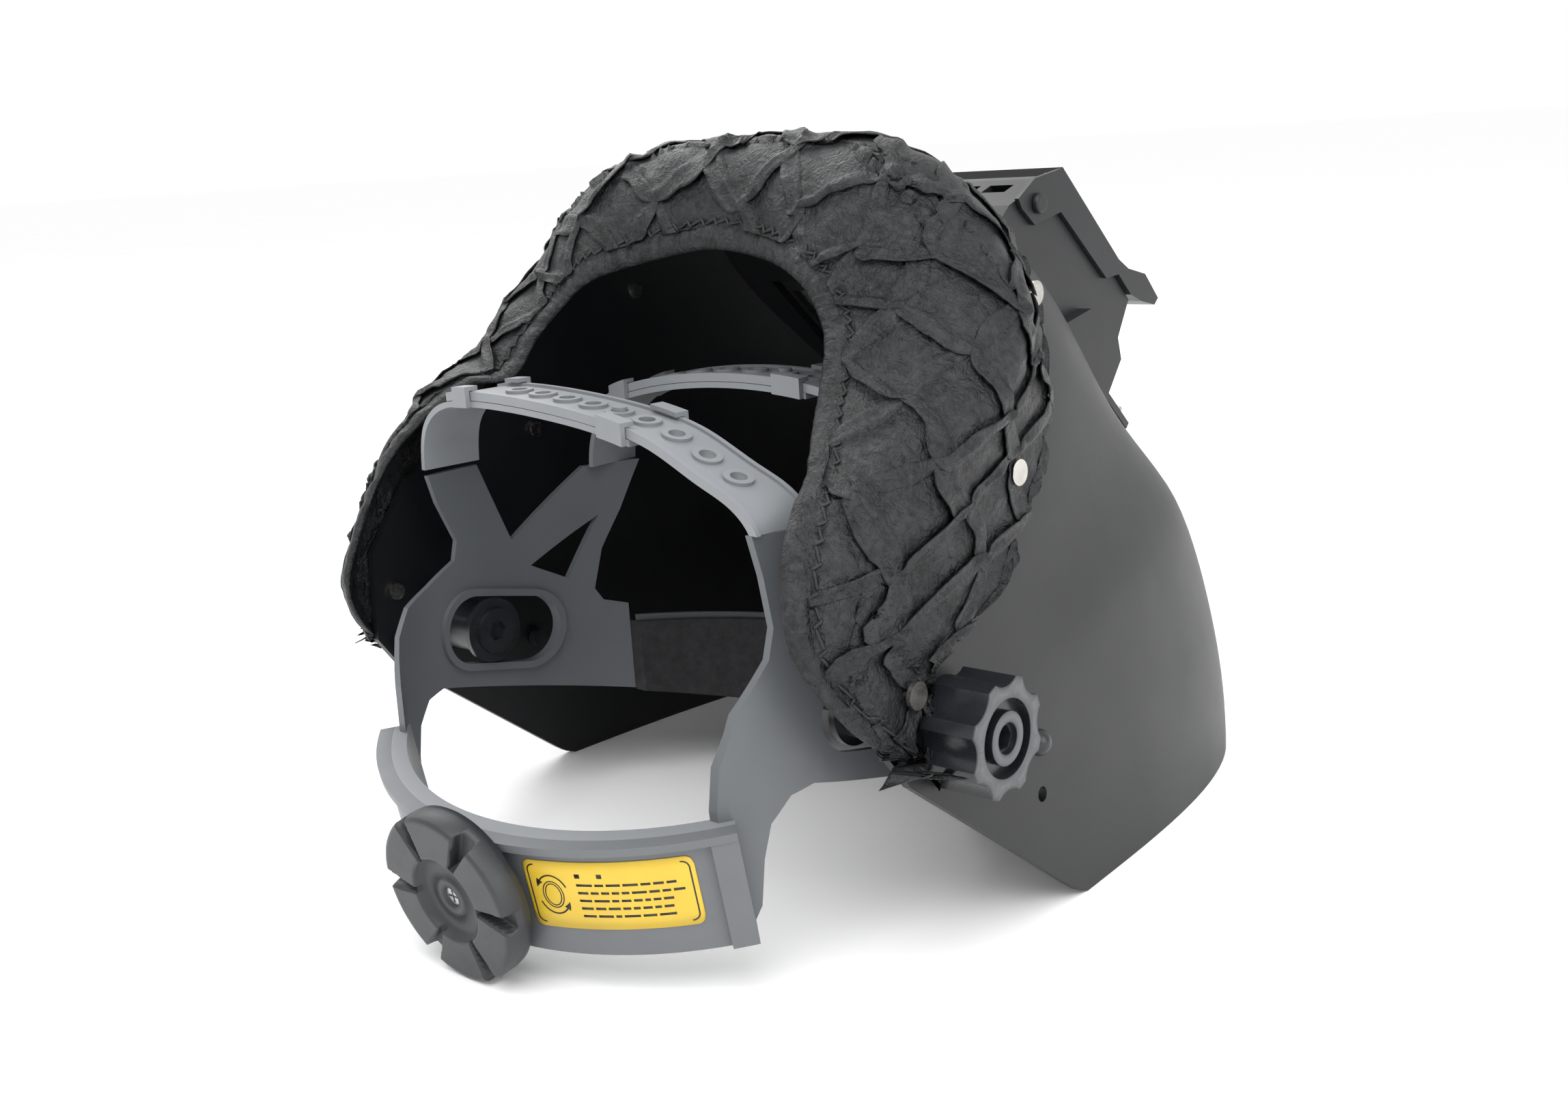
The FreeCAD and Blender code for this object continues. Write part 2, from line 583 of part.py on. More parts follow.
KNOB_FACE_RING, KNOB_HUB = 11.4, 7.8
SCALLOP_RADIUS, SCALLOP_OUT = 8.0, 5.6
for name, side in SIDES:
    knob = doc.addObject("PartDesign::Body", f"tension_knob_{name}")
    round_sketch = new_sketch(knob, f"knob_round_{name}")
    sketch_circle(round_sketch, 0, 0, size("knob_dia") / 2, "knob_dia", 0.5)
    pad(knob, round_sketch, knob_long, "knob_long")
    scallop = new_sketch(knob, f"knob_scallop_{name}")
    sketch_circle(scallop, size("knob_dia") / 2 + SCALLOP_OUT, 0, SCALLOP_RADIUS)
    cut = pocket(knob, scallop, 2 * knob_long, through=True)
    around(knob, [cut], size("knob_lobes"))
    ring = new_sketch(knob, f"knob_ring_{name}", lift=knob_long)
    sketch_circle(ring, 0, 0, KNOB_FACE_RING)
    sketch_circle(ring, 0, 0, KNOB_HUB)
    pocket(knob, ring, 3.0)
    bore = new_sketch(knob, f"knob_bore_{name}")
    sketch_circle(bore, 0, 0, size("knob_bore_dia") / 2, "knob_bore_dia", 0.5)
    pocket(knob, bore, 2 * knob_long, through=True)
    turn = Rotation(Vector(0, 0, 1), Vector(side, 0, 0))
    settle(knob, f"tension_knob_{name}", Placement(Vector(side * (knob_face - knob_long), 0, 0), turn))

# ---------------------------------------------------------------- headgear band
band_thick = size("band_thick")
band_half = size("band_half")
NAPE_MID = size("nape_centre")
NAPE_R = size("nape_radius")
FRONT_PLAN = ((0, -108), (42, -98), (70, -69), (84, -34), (band_half, 0), (86, 25), (76, 49))
BAND_LOW, BAND_HIGH = -75.0, 60.0


def band_ring(grow):
    """Return the band's plan outline, grown outwards, as a filled face."""
    mean = Vector(0, -5, 0)
    moved = []
    for x, y in FRONT_PLAN:
        out = (Vector(x, y, 0) - mean).normalize() * grow
        moved.append((x + out.x, y + out.y, BAND_LOW))
    left = spline(moved)
    right = spline([(-x, y, z) for x, y, z in moved])
    rear = Part.Arc(Vector(*moved[-1]), Vector(0, NAPE_MID + NAPE_R + grow, BAND_LOW),
                    Vector(-moved[-1][0], moved[-1][1], BAND_LOW)).toShape()
    return Part.Face(Part.Wire(Part.__sortEdges__([left, rear, right])))


def band_tube(inner_grow, outer_grow):
    """Return the band as a tall tube between two growths of its outline."""
    tall = Vector(0, 0, BAND_HIGH - BAND_LOW)
    return band_ring(outer_grow).extrude(tall).cut(band_ring(inner_grow).extrude(tall))


band = band_tube(-band_thick, 0.0)
PLATE_LOWER = ((-58, -37), (24, -15.5), (32, -17), (38.5, -24), (41, -34), (42.5, -48), (46.5, -56),
               (47.5, -47), (51.5, -47), (51.5, -31), (51, -31), (51.5, -18), (50.5, -5), (46, 10))
PLATE_FRONT = ((-14, 30), (-46, 52), (-66, 52), (-58, 34), (-50, 20), (-46, 5), (-49, 0), (-58, -3))
REAR_ARM = {"left": ((38, 18), (26, 22), (12, 28), (10, 35), (17, 50), (20.5, 62), (-1.5, 62)),
            "right": ((41, 17), (36, 24), (34, 33), (36, 48), (38.5, 60), (16.5, 60), (5, 40))}
TRIANGLE = ((-21, 19), (-50, 33), (-36, 11))
SLOT_LOW, SLOT_HIGH, SLOT_HALF = -30.0, 20.0, 12.2
SLOT_TILT = 13.0
LENGTHWISE = Vector(0, math.cos(math.radians(SLOT_TILT)), math.sin(math.radians(SLOT_TILT)))


def slot_prism(half, low, high):
    """Return an obround bar along X that follows the slot's slope."""
    run = high - low - 2 * half
    start, end = LENGTHWISE * (low + half), LENGTHWISE * (high - half)
    bar = cylinder_x(half, 60, 110, start.y, start.z)
    bar = bar.fuse(cylinder_x(half, 60, 110, end.y, end.z))
    middle = Part.makeBox(50, run, 2 * half, Vector(60, 0, -half))
    middle.Placement = Placement(start, Rotation(Vector(1, 0, 0), SLOT_TILT))
    return bar.fuse(middle)


boss_outer = slot_prism(SLOT_HALF + 2.6, SLOT_LOW - 2.6, SLOT_HIGH + 2.6)
boss_band = band_tube(-band_thick - 2.0, -band_thick + 0.2)
slot = slot_prism(SLOT_HALF, SLOT_LOW, SLOT_HIGH)
slot_rim = boss_band.common(boss_outer).cut(slot)
plates = {}
for name, side in SIDES:
    outline = PLATE_LOWER + REAR_ARM[name] + PLATE_FRONT
    plate = band.common(prism_x(outline, 20, 120)).cut(prism_x(TRIANGLE, 20, 120)).cut(slot)
    plate = plate.fuse(slot_rim).removeSplitter()
    plates[name] = plate if side > 0 else mirror(plate)
    piece(f"side_plate_{name}", plates[name])

BROW_BAND = ((-61.6, -8.5), (-61.6, -36.5), (-112, -50), (-112, -14))
BROW_PAD = ((-58, -10), (-58, -37.5), (-106, -50), (-106, -15))
brow = band.common(prism_x(BROW_BAND, -120, 120)).cut(plates["left"]).cut(plates["right"])
piece("brow_band", brow)
pad_tube = band_tube(-band_thick - 5.2, -band_thick - 0.2)
piece("brow_pad", pad_tube.common(prism_x(BROW_PAD, -120, 120)))

# ---------------------------------------------------------------- crown straps
# Each strap is two overlapping halves.  Its arch is given by (across, up) points, and it is
# turned in plan about its own middle.
ARCHES = {"rear": ((85.4, 56), (84.6, 66), (81.5, 76), (73, 83), (58, 86), (38, 86.4), (11, 85.3),
                   (-15, 83), (-42, 78), (-63, 71.5), (-77, 65.5), (-82.5, 60), (-83.5, 52)),
          "front": ((73.5, 44), (73.2, 54), (70.5, 64), (62, 74), (46, 80), (24, 83.4), (0, 84.6),
                    (-24, 83.4), (-46, 80), (-62, 74), (-70.5, 64), (-73.2, 54), (-73.5, 44))}
PLACES = {"rear": (size("crown_rear"), -6.3, 62.05, 60.05),
          "front": (size("crown_front"), 0.0, 52.05, 52.05)}
strap = size("strap_thick")
crown_half = size("crown_width") / 2
OVER = strap + 0.2
OVER_TOP = OVER + strap
STEP_FROM, STEP_TO = -34.0, -66.0


def arch_line(name, grow, upper=0.0):
    """Return the arch's curve grown outwards, the upper half's extra ending at its foot."""
    points = ARCHES[name]
    grown = []
    for i, (x, z) in enumerate(points):
        (x0, z0), (x1, z1) = points[max(i - 1, 0)], points[min(i + 1, len(points) - 1)]
        out = Vector(z0 - z1, 0, x1 - x0).normalize() * -1.0
        ease = min(max((x - STEP_TO) / (STEP_FROM - STEP_TO), 0.0), 1.0)
        reach = grow + upper * ease * ease * (3 - 2 * ease)
        grown.append((x + out.x * reach, 0, z + out.z * reach))
    return spline(grown)


def arch_band(name, low, high, y_from, y_to, x_from, x_to, foot=0.0, upper=0.0):
    """Return a band of an arch between two growths, two places along and two stations."""
    under, over = arch_line(name, low, upper), arch_line(name, high, upper)
    ends = [Part.makeLine(under.Vertexes[i].Point, over.Vertexes[i].Point) for i in (0, -1)]
    face = Part.Face(Part.Wire(Part.__sortEdges__([under, ends[0], over, ends[1]])))
    face.translate(Vector(0, y_from, 0))
    solid = face.extrude(Vector(0, y_to - y_from, 0))
    return solid.common(box_between((x_from, -200, foot), (x_to, 200, 200)))


def arch_hole(name, x):
    """Return a place on the upper half's underside and the way out of it."""
    steps = arch_line(name, 0.0, OVER).discretize(800)
    i = min(range(1, len(steps) - 1), key=lambda k: abs(steps[k].x - x))
    run = steps[i + 1] - steps[i - 1]
    out = Vector(-run.z, 0, run.x).normalize()
    return steps[i], out if out.z > 0 else out * -1.0


HOLES = 9
HOLE_RADIUS = 2.6
FIRST_HOLE = 38.5
HOLE_RING = 4.6
LOCK_HOLE = 4
UNDER_END, OVER_END = -32.0, 66.0
TAB_AT, LOOP_AT = (-31.0, -19.0), (51.0, 59.0)
for name, (mid, turn, left_foot, right_foot) in PLACES.items():
    under = arch_band(name, 0.0, strap, -crown_half, crown_half, UNDER_END, 120.0, left_foot)
    over = arch_band(name, 0.0, strap, -crown_half, crown_half, -120.0, OVER_END, right_foot, OVER)
    for edge in (-crown_half, crown_half - 1.6):
        over = over.fuse(arch_band(name, strap - 0.1, strap + 0.9, edge, edge + 1.6,
                                   -120.0, OVER_END, right_foot, OVER))
    for i in range(HOLES):
        place, out = arch_hole(name, FIRST_HOLE - i * size("hole_pitch"))
        over = over.fuse(Part.makeCylinder(HOLE_RING, strap + 0.4, place + out * 0.6, out))
        over = over.cut(Part.makeCylinder(HOLE_RADIUS, 12, place - out * 4, out))
        if i == LOCK_HOLE:
            under = under.fuse(Part.makeCylinder(HOLE_RADIUS - 0.3, strap + 3.8,
                                                 place - out * 1.6, out))
    for side in (-1, 1):
        outer, inner = side * (crown_half + 2.0), side * (crown_half + 0.3)
        tuck = side * (crown_half - 3.0)
        wall_y, lip_y = sorted((outer, inner)), sorted((outer, tuck))
        for start, end in (TAB_AT, LOOP_AT):
            wall = arch_band(name, 0.0, OVER_TOP + 2.6, *wall_y, start, end)
            lip = arch_band(name, OVER_TOP + 1.2, OVER_TOP + 2.6, *lip_y, start, end)
            foot = arch_band(name, 0.0, strap, *lip_y, start, end)
            under = under.fuse([wall, lip, foot])
    under, over = under.removeSplitter(), over.removeSplitter()
    for half, label in ((under, "left"), (over, "right")):
        piece(f"{name}_crown_strap_{label}", half,
              Placement(Vector(0, mid, 0), Rotation(Vector(0, 0, 1), turn)))

# ---------------------------------------------------------------- nape ratchet
NAPE = Placement(Vector(0, NAPE_MID + 1.2, -26.0), Rotation(Vector(1, 0, 0), -size("nape_tilt")))
nape_wall = size("nape_wall")
nape_high = size("nape_half_height")
nape_angle = size("nape_angle")
TRACK_IN, TRACK_OUT = NAPE_R - 3.4, NAPE_R + 1.2
COVER_IN, COVER_OUT = TRACK_IN - nape_wall, TRACK_OUT + nape_wall


def arc_band(r_in, r_out, z_low, z_high, from_deg, to_deg):
    """Return a band about the nape's own Z axis, its angle measured from straight back."""
    low = Part.makeCylinder(r_out, z_high - z_low, Vector(0, 0, z_low), Vector(0, 0, 1),
                            to_deg - from_deg)
    core = Part.makeCylinder(r_in, z_high - z_low + 2, Vector(0, 0, z_low - 1))
    solid = low.cut(core)
    solid.rotate(Vector(0, 0, 0), Vector(0, 0, 1), 90 - to_deg)
    return solid


def radial(radius, length, start, z=0.0):
    """Return a cylinder pointing straight back from the nape axis."""
    return Part.makeCylinder(radius, length, Vector(0, start, z), Vector(0, 1, 0))


stem_radius = size("ratchet_stem_dia") / 2
SPLIT = NAPE_R + 0.2
back_plate = arc_band(COVER_IN, SPLIT, -nape_high, nape_high, -nape_angle, nape_angle)
back_plate = back_plate.cut(arc_band(TRACK_IN, SPLIT + 1, -16, 16, -50, 50))
cover = arc_band(SPLIT + 0.02, COVER_OUT, -nape_high, nape_high, -nape_angle, nape_angle)
cover = cover.cut(arc_band(SPLIT - 1, TRACK_OUT, -16, 16, -50, 50))
rim = arc_band(COVER_OUT - 0.2, COVER_OUT + 2.4, nape_high - 2.6, nape_high, -nape_angle, nape_angle)
cap = arc_band(COVER_OUT - 0.2, COVER_OUT + 2.0, -nape_high, nape_high, -nape_angle, -nape_angle + 4)
cap_far = arc_band(COVER_OUT - 0.2, COVER_OUT + 2.0, -nape_high, nape_high, nape_angle - 4, nape_angle)
BOSS_RADIUS = 16.0
cover_boss = radial(BOSS_RADIUS, 4.0, NAPE_R)
cover_boss = cover_boss.cut(Part.makeCylinder(TRACK_OUT, 60, Vector(0, 0, -30)))
cover = cover.fuse([rim, cap, cap_far, cover_boss]).cut(radial(stem_radius + 0.05, 30, NAPE_R - 2))
cover = cover.cut(radial(size("ratchet_knob_dia") / 2 + 0.8, 10, NAPE_R + 4.1))
piece("ratchet_cover", cover.removeSplitter(), NAPE)
piece("ratchet_back_plate", back_plate.removeSplitter(), NAPE)

LABEL_FROM, LABEL_TO = -39.5, -12.0
LABEL_LOW, LABEL_HIGH = -9.5, 13.0
label = arc_band(COVER_OUT + 0.02, COVER_OUT + 0.3, LABEL_LOW, LABEL_HIGH, LABEL_FROM, LABEL_TO)
piece("ratchet_label", label, NAPE)

teeth = int(size("pinion_teeth"))
pitch_radius = size("pinion_pitch_radius")
rack_thick = size("rack_thick")
rack_mid = (TRACK_IN + TRACK_OUT) / 2
TOOTH_STEP = 2 * math.pi * pitch_radius / teeth
RACK_TEETH = 17
tooth_step_deg = math.degrees(TOOTH_STEP / rack_mid)
rack_angle = size("rack_angle")
for name, side in SIDES:
    bar = arc_band(rack_mid - rack_thick / 2, rack_mid + rack_thick / 2, pitch_radius + 1.4,
                   pitch_radius + 7.0, -rack_angle, rack_angle)
    for i in range(-RACK_TEETH // 2, RACK_TEETH // 2 + 1):
        centre = (i + 0.5) * tooth_step_deg
        wide = tooth_step_deg * 0.16
        bar = bar.fuse(arc_band(rack_mid - rack_thick / 2, rack_mid + rack_thick / 2,
                                pitch_radius - 0.7, pitch_radius + 1.5, centre - wide, centre + wide))
    if side < 0:
        bar.rotate(Vector(0, 0, 0), Vector(0, 1, 0), 180)
    piece(f"rack_strap_{name}", bar.removeSplitter(), NAPE)

pinion = doc.addObject("PartDesign::Body", "pinion")
core = new_sketch(pinion, "pinion_core")
sketch_circle(core, 0, 0, pitch_radius - 1.1)
PINION_LONG = 3.0
pad(pinion, core, PINION_LONG)
tooth_sketch = new_sketch(pinion, "pinion_tooth")
TOOTH_ROOT, TOOTH_TIP = 0.95, 0.5
sketch_outline(tooth_sketch, ((pitch_radius - 1.6, -TOOTH_ROOT), (pitch_radius + 0.8, -TOOTH_TIP),
                              (pitch_radius + 0.8, TOOTH_TIP), (pitch_radius - 1.6, TOOTH_ROOT)))
doc.recompute()
tooth = pad(pinion, tooth_sketch, PINION_LONG)
doc.recompute()
around(pinion, [tooth], teeth)
stem_sketch = new_sketch(pinion, "pinion_stem", lift=PINION_LONG - 0.5)
sketch_circle(stem_sketch, 0, 0, stem_radius, "ratchet_stem_dia", 0.5)
KNOB_BASE = NAPE_R + 4.4
pinion_start = rack_mid - PINION_LONG / 2
pad(pinion, stem_sketch, KNOB_BASE + 5.0 - pinion_start - PINION_LONG + 0.5)
RADIAL_TURN = Rotation(Vector(1, 0, 0), -90)
settle(pinion, "pinion", NAPE.multiply(Placement(Vector(0, pinion_start, 0), RADIAL_TURN)))

dial = doc.addObject("PartDesign::Body", "ratchet_knob")
dial_radius = size("ratchet_knob_dia") / 2
dial_thick = size("ratchet_knob_thick")
disc_sketch = new_sketch(dial, "dial_disc")
sketch_circle(disc_sketch, 0, 0, dial_radius, "ratchet_knob_dia", 0.5)
pad(dial, disc_sketch, dial_thick, "ratchet_knob_thick")
DIAL_NOTCHES = 6
notch_sketch = new_sketch(dial, "dial_notch", lift=dial_thick)
sketch_outline(notch_sketch, ((dial_radius - 10.5, -0.8), (dial_radius + 2, -4.2),
                              (dial_radius + 2, 1.6), (dial_radius - 10.0, 1.2)))
notch = pocket(dial, notch_sketch, 3.2)
around(dial, [notch], DIAL_NOTCHES)
dish_sketch = new_sketch(dial, "dial_dish", lift=dial_thick)
sketch_circle(dish_sketch, 0, 0, 8.0)
pocket(dial, dish_sketch, 2.0)
screw_sketch = new_sketch(dial, "dial_screw_hole", lift=dial_thick)
sketch_circle(screw_sketch, 0, 0, 3.2)
pocket(dial, screw_sketch, 4.6)
socket_sketch = new_sketch(dial, "dial_socket")
sketch_circle(socket_sketch, 0, 0, stem_radius)
pocket(dial, socket_sketch, 2 * dial_thick, through=True)
settle(dial, "ratchet_knob", NAPE.multiply(Placement(Vector(0, KNOB_BASE, 0), RADIAL_TURN)))

screw_head = radial(2.9, 1.6, KNOB_BASE + 5.1)
screw_head = screw_head.cut(box_between((-2.2, KNOB_BASE + 6.1, -0.4), (2.2, KNOB_BASE + 7, 0.4)))
screw_head = screw_head.cut(box_between((-0.4, KNOB_BASE + 6.1, -2.2), (0.4, KNOB_BASE + 7, 2.2)))
piece("knob_screw", screw_head, NAPE)
washer = radial(9.0, 0.3, NAPE_R + 4.05).cut(radial(stem_radius + 0.1, 9, NAPE_R))
piece("ratchet_click_spring", washer, NAPE)

# ---------------------------------------------------------------- write the sub-parts
doc.recompute()
for obj in doc.Objects:
    if "Invalid" in obj.State or "Error" in obj.State:
        raise RuntimeError(f"{obj.Label} failed: {obj.State}")
os.makedirs("parts", exist_ok=True)
for obj in sub_parts:
    shape = obj.Shape
    if shape.isNull() or not shape.isValid() or not shape.Solids:
        raise RuntimeError(f"{obj.Label} has no valid solid")
    shape.exportStep(os.path.join("parts", f"{obj.Label}.step"))
    bound = shape.optimalBoundingBox(False)
    print(f"{obj.Label:26s} solids {len(shape.Solids):2d}  volume {shape.Volume:9.0f}  "
          f"y {bound.YMin:7.1f} {bound.YMax:7.1f}  z {bound.ZMin:6.1f} {bound.ZMax:6.1f}")
bounds = [obj.Shape.optimalBoundingBox(False) for obj in sub_parts]
print(f"depth {min(b.YMin for b in bounds):.2f} {max(b.YMax for b in bounds):.2f}, "
      f"lowest point {min(b.ZMin for b in bounds):.2f}")
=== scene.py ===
"""Looks for a lift-front welding helmet: shell, lens box, leather hood and ratchet headgear."""
import logging
import math
from dataclasses import dataclass, field
from enum import Enum

import bpy
import numpy as np
from mathutils import Matrix, Vector
from mathutils.bvhtree import BVHTree


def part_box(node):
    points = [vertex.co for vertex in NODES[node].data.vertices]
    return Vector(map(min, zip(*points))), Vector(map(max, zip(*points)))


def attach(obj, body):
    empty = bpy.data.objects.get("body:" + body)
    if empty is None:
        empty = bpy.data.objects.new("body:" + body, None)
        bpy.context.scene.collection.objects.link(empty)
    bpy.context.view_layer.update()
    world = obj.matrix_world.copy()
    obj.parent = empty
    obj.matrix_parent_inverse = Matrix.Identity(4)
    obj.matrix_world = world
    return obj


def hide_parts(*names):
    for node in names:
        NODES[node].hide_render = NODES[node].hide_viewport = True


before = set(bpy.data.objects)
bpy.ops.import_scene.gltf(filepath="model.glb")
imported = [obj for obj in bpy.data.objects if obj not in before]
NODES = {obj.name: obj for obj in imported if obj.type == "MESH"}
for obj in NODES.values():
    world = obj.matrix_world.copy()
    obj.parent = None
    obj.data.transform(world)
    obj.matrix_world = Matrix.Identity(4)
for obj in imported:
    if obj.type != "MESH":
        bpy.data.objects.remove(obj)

log = logging.getLogger("helmet")
MM = 0.001


class Body(Enum):
    """The rigid bodies of the frame that pieces ride on."""

    HEADGEAR = "headgear"
    SHELL = "shell"
    RATCHET = "ratchet"
    KNOB_LEFT = "knob_left"
    KNOB_RIGHT = "knob_right"


# ---------------------------------------------------------------- finishes
@dataclass(frozen=True)
class Finish:
    """A surface made of noise at a few scales, in the object's own space.

    Sizes are metres; the mottle changes colour and gloss, the grain raises the surface.
    """

    name: str
    colour: tuple[float, float, float]
    roughness: float = 0.5
    metallic: float = 0.0
    specular: float = 0.5
    mottle: float = 0.18
    mottle_size: float = 0.03
    grain_height: float = 0.00002
    grain_size: float = 0.0006
    coat: float = 0.0
    transmission: float = 0.0
    stretch: tuple[float, float, float] = (1.0, 1.0, 1.0)

    def build(self) -> bpy.types.Material:
        """Make the material, or return the one made before.

        Returns:
            The finished material.
        """
        made = bpy.data.materials.get(self.name)
        if made:
            return made
        material = bpy.data.materials.new(self.name)
        material.use_nodes = True
        tree = material.node_tree
        shader = tree.nodes["Principled BSDF"]
        shader.inputs["Metallic"].default_value = self.metallic
        shader.inputs["Specular IOR Level"].default_value = self.specular
        shader.inputs["Coat Weight"].default_value = self.coat
        shader.inputs["Transmission Weight"].default_value = self.transmission
        place = self.place(tree)
        tree.links.new(self.colours(tree, place), shader.inputs["Base Color"])
        tree.links.new(self.gloss(tree, place), shader.inputs["Roughness"])
        tree.links.new(self.relief(tree, place), shader.inputs["Normal"])
        return material

    def place(self, tree: bpy.types.NodeTree) -> bpy.types.NodeSocket:
        """Return the object's own coordinates, stretched the finish's way."""
        where = tree.nodes.new("ShaderNodeTexCoord")
        scale = tree.nodes.new("ShaderNodeMapping")
        scale.inputs["Scale"].default_value = self.stretch
        tree.links.new(where.outputs["Object"], scale.inputs["Vector"])
        return scale.outputs["Vector"]

    def noise(self, tree: bpy.types.NodeTree, place: bpy.types.NodeSocket, size: float,
              detail: float = 4.0, distortion: float = 0.0) -> bpy.types.NodeSocket:
        """Add one noise whose features are about a size across.

        Args:
            tree: the material's nodes.
            place: the coordinates that it reads.
            size: how far apart its features are, in metres.
            detail: how many finer layers it has.
            distortion: how far its features are dragged about.

        Returns:
            The noise's value.
        """
        noise = tree.nodes.new("ShaderNodeTexNoise")
        noise.inputs["Scale"].default_value = 1.0 / size
        noise.inputs["Detail"].default_value = detail
        noise.inputs["Distortion"].default_value = distortion
        tree.links.new(place, noise.inputs["Vector"])
        return noise.outputs["Fac"]

    def ramp(self, tree: bpy.types.NodeTree, value: bpy.types.NodeSocket,
             low: tuple[float, ...], high: tuple[float, ...]) -> bpy.types.NodeSocket:
        """Turn a value between 0.3 and 0.7 into a colour between two."""
        ramp = tree.nodes.new("ShaderNodeValToRGB")
        first, last = ramp.color_ramp.elements
        first.position, last.position = 0.3, 0.7
        first.color, last.color = (*low, 1.0), (*high, 1.0)
        tree.links.new(value, ramp.inputs["Fac"])
        return ramp.outputs["Color"]

    def colours(self, tree: bpy.types.NodeTree,
                place: bpy.types.NodeSocket) -> bpy.types.NodeSocket:
        """Return the mottled base colour."""
        low = tuple(c * (1 - self.mottle) for c in self.colour)
        high = tuple(min(c * (1 + self.mottle), 1.0) for c in self.colour)
        return self.ramp(tree, self.noise(tree, place, self.mottle_size), low, high)

    def gloss(self, tree: bpy.types.NodeTree,
              place: bpy.types.NodeSocket) -> bpy.types.NodeSocket:
        """Return a roughness that wanders a little about the stated one."""
        swing = tree.nodes.new("ShaderNodeMapRange")
        swing.inputs["To Min"].default_value = max(self.roughness - 0.07, 0.02)
        swing.inputs["To Max"].default_value = min(self.roughness + 0.07, 1.0)
        value = self.noise(tree, place, self.mottle_size * 0.4)
        tree.links.new(value, swing.inputs["Value"])
        return swing.outputs["Result"]

    def relief(self, tree: bpy.types.NodeTree,
               place: bpy.types.NodeSocket) -> bpy.types.NodeSocket:
        """Return the surface normal with its fine grain."""
        bump = tree.nodes.new("ShaderNodeBump")
        bump.inputs["Distance"].default_value = self.grain_height
        tree.links.new(self.noise(tree, place, self.grain_size, 2.0), bump.inputs["Height"])
        return bump.outputs["Normal"]


@dataclass(frozen=True)
class ShellFinish(Finish):
    """Moulded plastic whose inside is painted darker as shade in its hollow."""

    # painted shade: this near-black colour stands for the shade inside the shell's hollow
    inside: tuple[float, float, float] = (0.0035, 0.004, 0.0055)
    middle: tuple[float, float, float] = (0.0, -0.01, 0.09)

    def colours(self, tree: bpy.types.NodeTree,
                place: bpy.types.NodeSocket) -> bpy.types.NodeSocket:
        """Return the outside colour where the surface faces away from the middle, and the painted inside
        shade where it faces the middle.
        """
        outside = super().colours(tree, place)
        where = tree.nodes.new("ShaderNodeTexCoord")
        spoke = tree.nodes.new("ShaderNodeVectorMath")
        spoke.operation = "SUBTRACT"
        spoke.inputs[1].default_value = self.middle
        tree.links.new(where.outputs["Object"], spoke.inputs[0])
        facing = tree.nodes.new("ShaderNodeVectorMath")
        facing.operation = "DOT_PRODUCT"
        tree.links.new(spoke.outputs["Vector"], facing.inputs[0])
        tree.links.new(where.outputs["Normal"], facing.inputs[1])
        # mask for the painted shade: 0 on faces turned towards the middle, 1 on faces turned away
        edge = tree.nodes.new("ShaderNodeMapRange")
        edge.inputs["From Min"].default_value = -0.006
        edge.inputs["From Max"].default_value = 0.004
        tree.links.new(facing.outputs["Value"], edge.inputs["Value"])
        inside_shade_mix = tree.nodes.new("ShaderNodeMix")
        inside_shade_mix.data_type = "RGBA"
        tree.links.new(edge.outputs["Result"], inside_shade_mix.inputs["Factor"])
        inside_shade_mix.inputs["A"].default_value = (*self.inside, 1.0)
        tree.links.new(outside, inside_shade_mix.inputs["B"])
        return inside_shade_mix.outputs["Result"]


@dataclass(frozen=True)
class LeatherFinish(Finish):
    """Waxed black skin with creases at three scales and rubbed grey streaks."""

    rubbed: tuple[float, float, float] = (0.022, 0.0235, 0.0255)
    crease_size: float = 0.0042
    wrinkle_size: float = 0.0013

    def colours(self, tree: bpy.types.NodeTree,
                place: bpy.types.NodeSocket) -> bpy.types.NodeSocket:
        """Return black skin that goes grey in streaks."""
        streaks = self.noise(tree, place, 0.006, 6.0, 1.6)
        return self.ramp(tree, streaks, self.colour, self.rubbed)

    def relief(self, tree: bpy.types.NodeTree,
               place: bpy.types.NodeSocket) -> bpy.types.NodeSocket:
        """Return a normal with soft creases, wrinkles and fine pores stacked on it."""
        normal = None
        layers = ((self.crease_size, 0.0011, 2.2), (self.wrinkle_size, 0.00042, 1.4),
                  (0.00045, 0.00012, 0.0))
        for size, height, drag in layers:
            bump = tree.nodes.new("ShaderNodeBump")
            bump.inputs["Distance"].default_value = height
            bump.inputs["Strength"].default_value = 0.9
            tree.links.new(self.noise(tree, place, size, 3.0, drag), bump.inputs["Height"])
            if normal is not None:
                tree.links.new(normal, bump.inputs["Normal"])
            normal = bump.outputs["Normal"]
        return normal


SHELL_PLASTIC = ShellFinish("charcoal shell with painted inside shade", (0.0125, 0.0132, 0.0142), roughness=0.46, specular=0.36,
                            mottle=0.06, mottle_size=0.09, grain_height=0.00003,
                            grain_size=0.0007)
BOX_PLASTIC = Finish("charcoal box", (0.0135, 0.0142, 0.0154), roughness=0.42, specular=0.36, mottle=0.07,
                     mottle_size=0.05, grain_height=0.00003, grain_size=0.0008)
GREY_NYLON = Finish("grey nylon", (0.19, 0.2, 0.212), roughness=0.42, mottle=0.06,
                    mottle_size=0.04, grain_height=0.000012, grain_size=0.0009)
# painted shade: the grey nylon at about half its brightness, for the side plates and brow band that sit
# in shade
SHADE_PAINTED_PLATE_NYLON = Finish("plate nylon with painted shade", (0.095, 0.102, 0.11), roughness=0.42, mottle=0.07,
                     mottle_size=0.04, grain_height=0.000012, grain_size=0.0009)
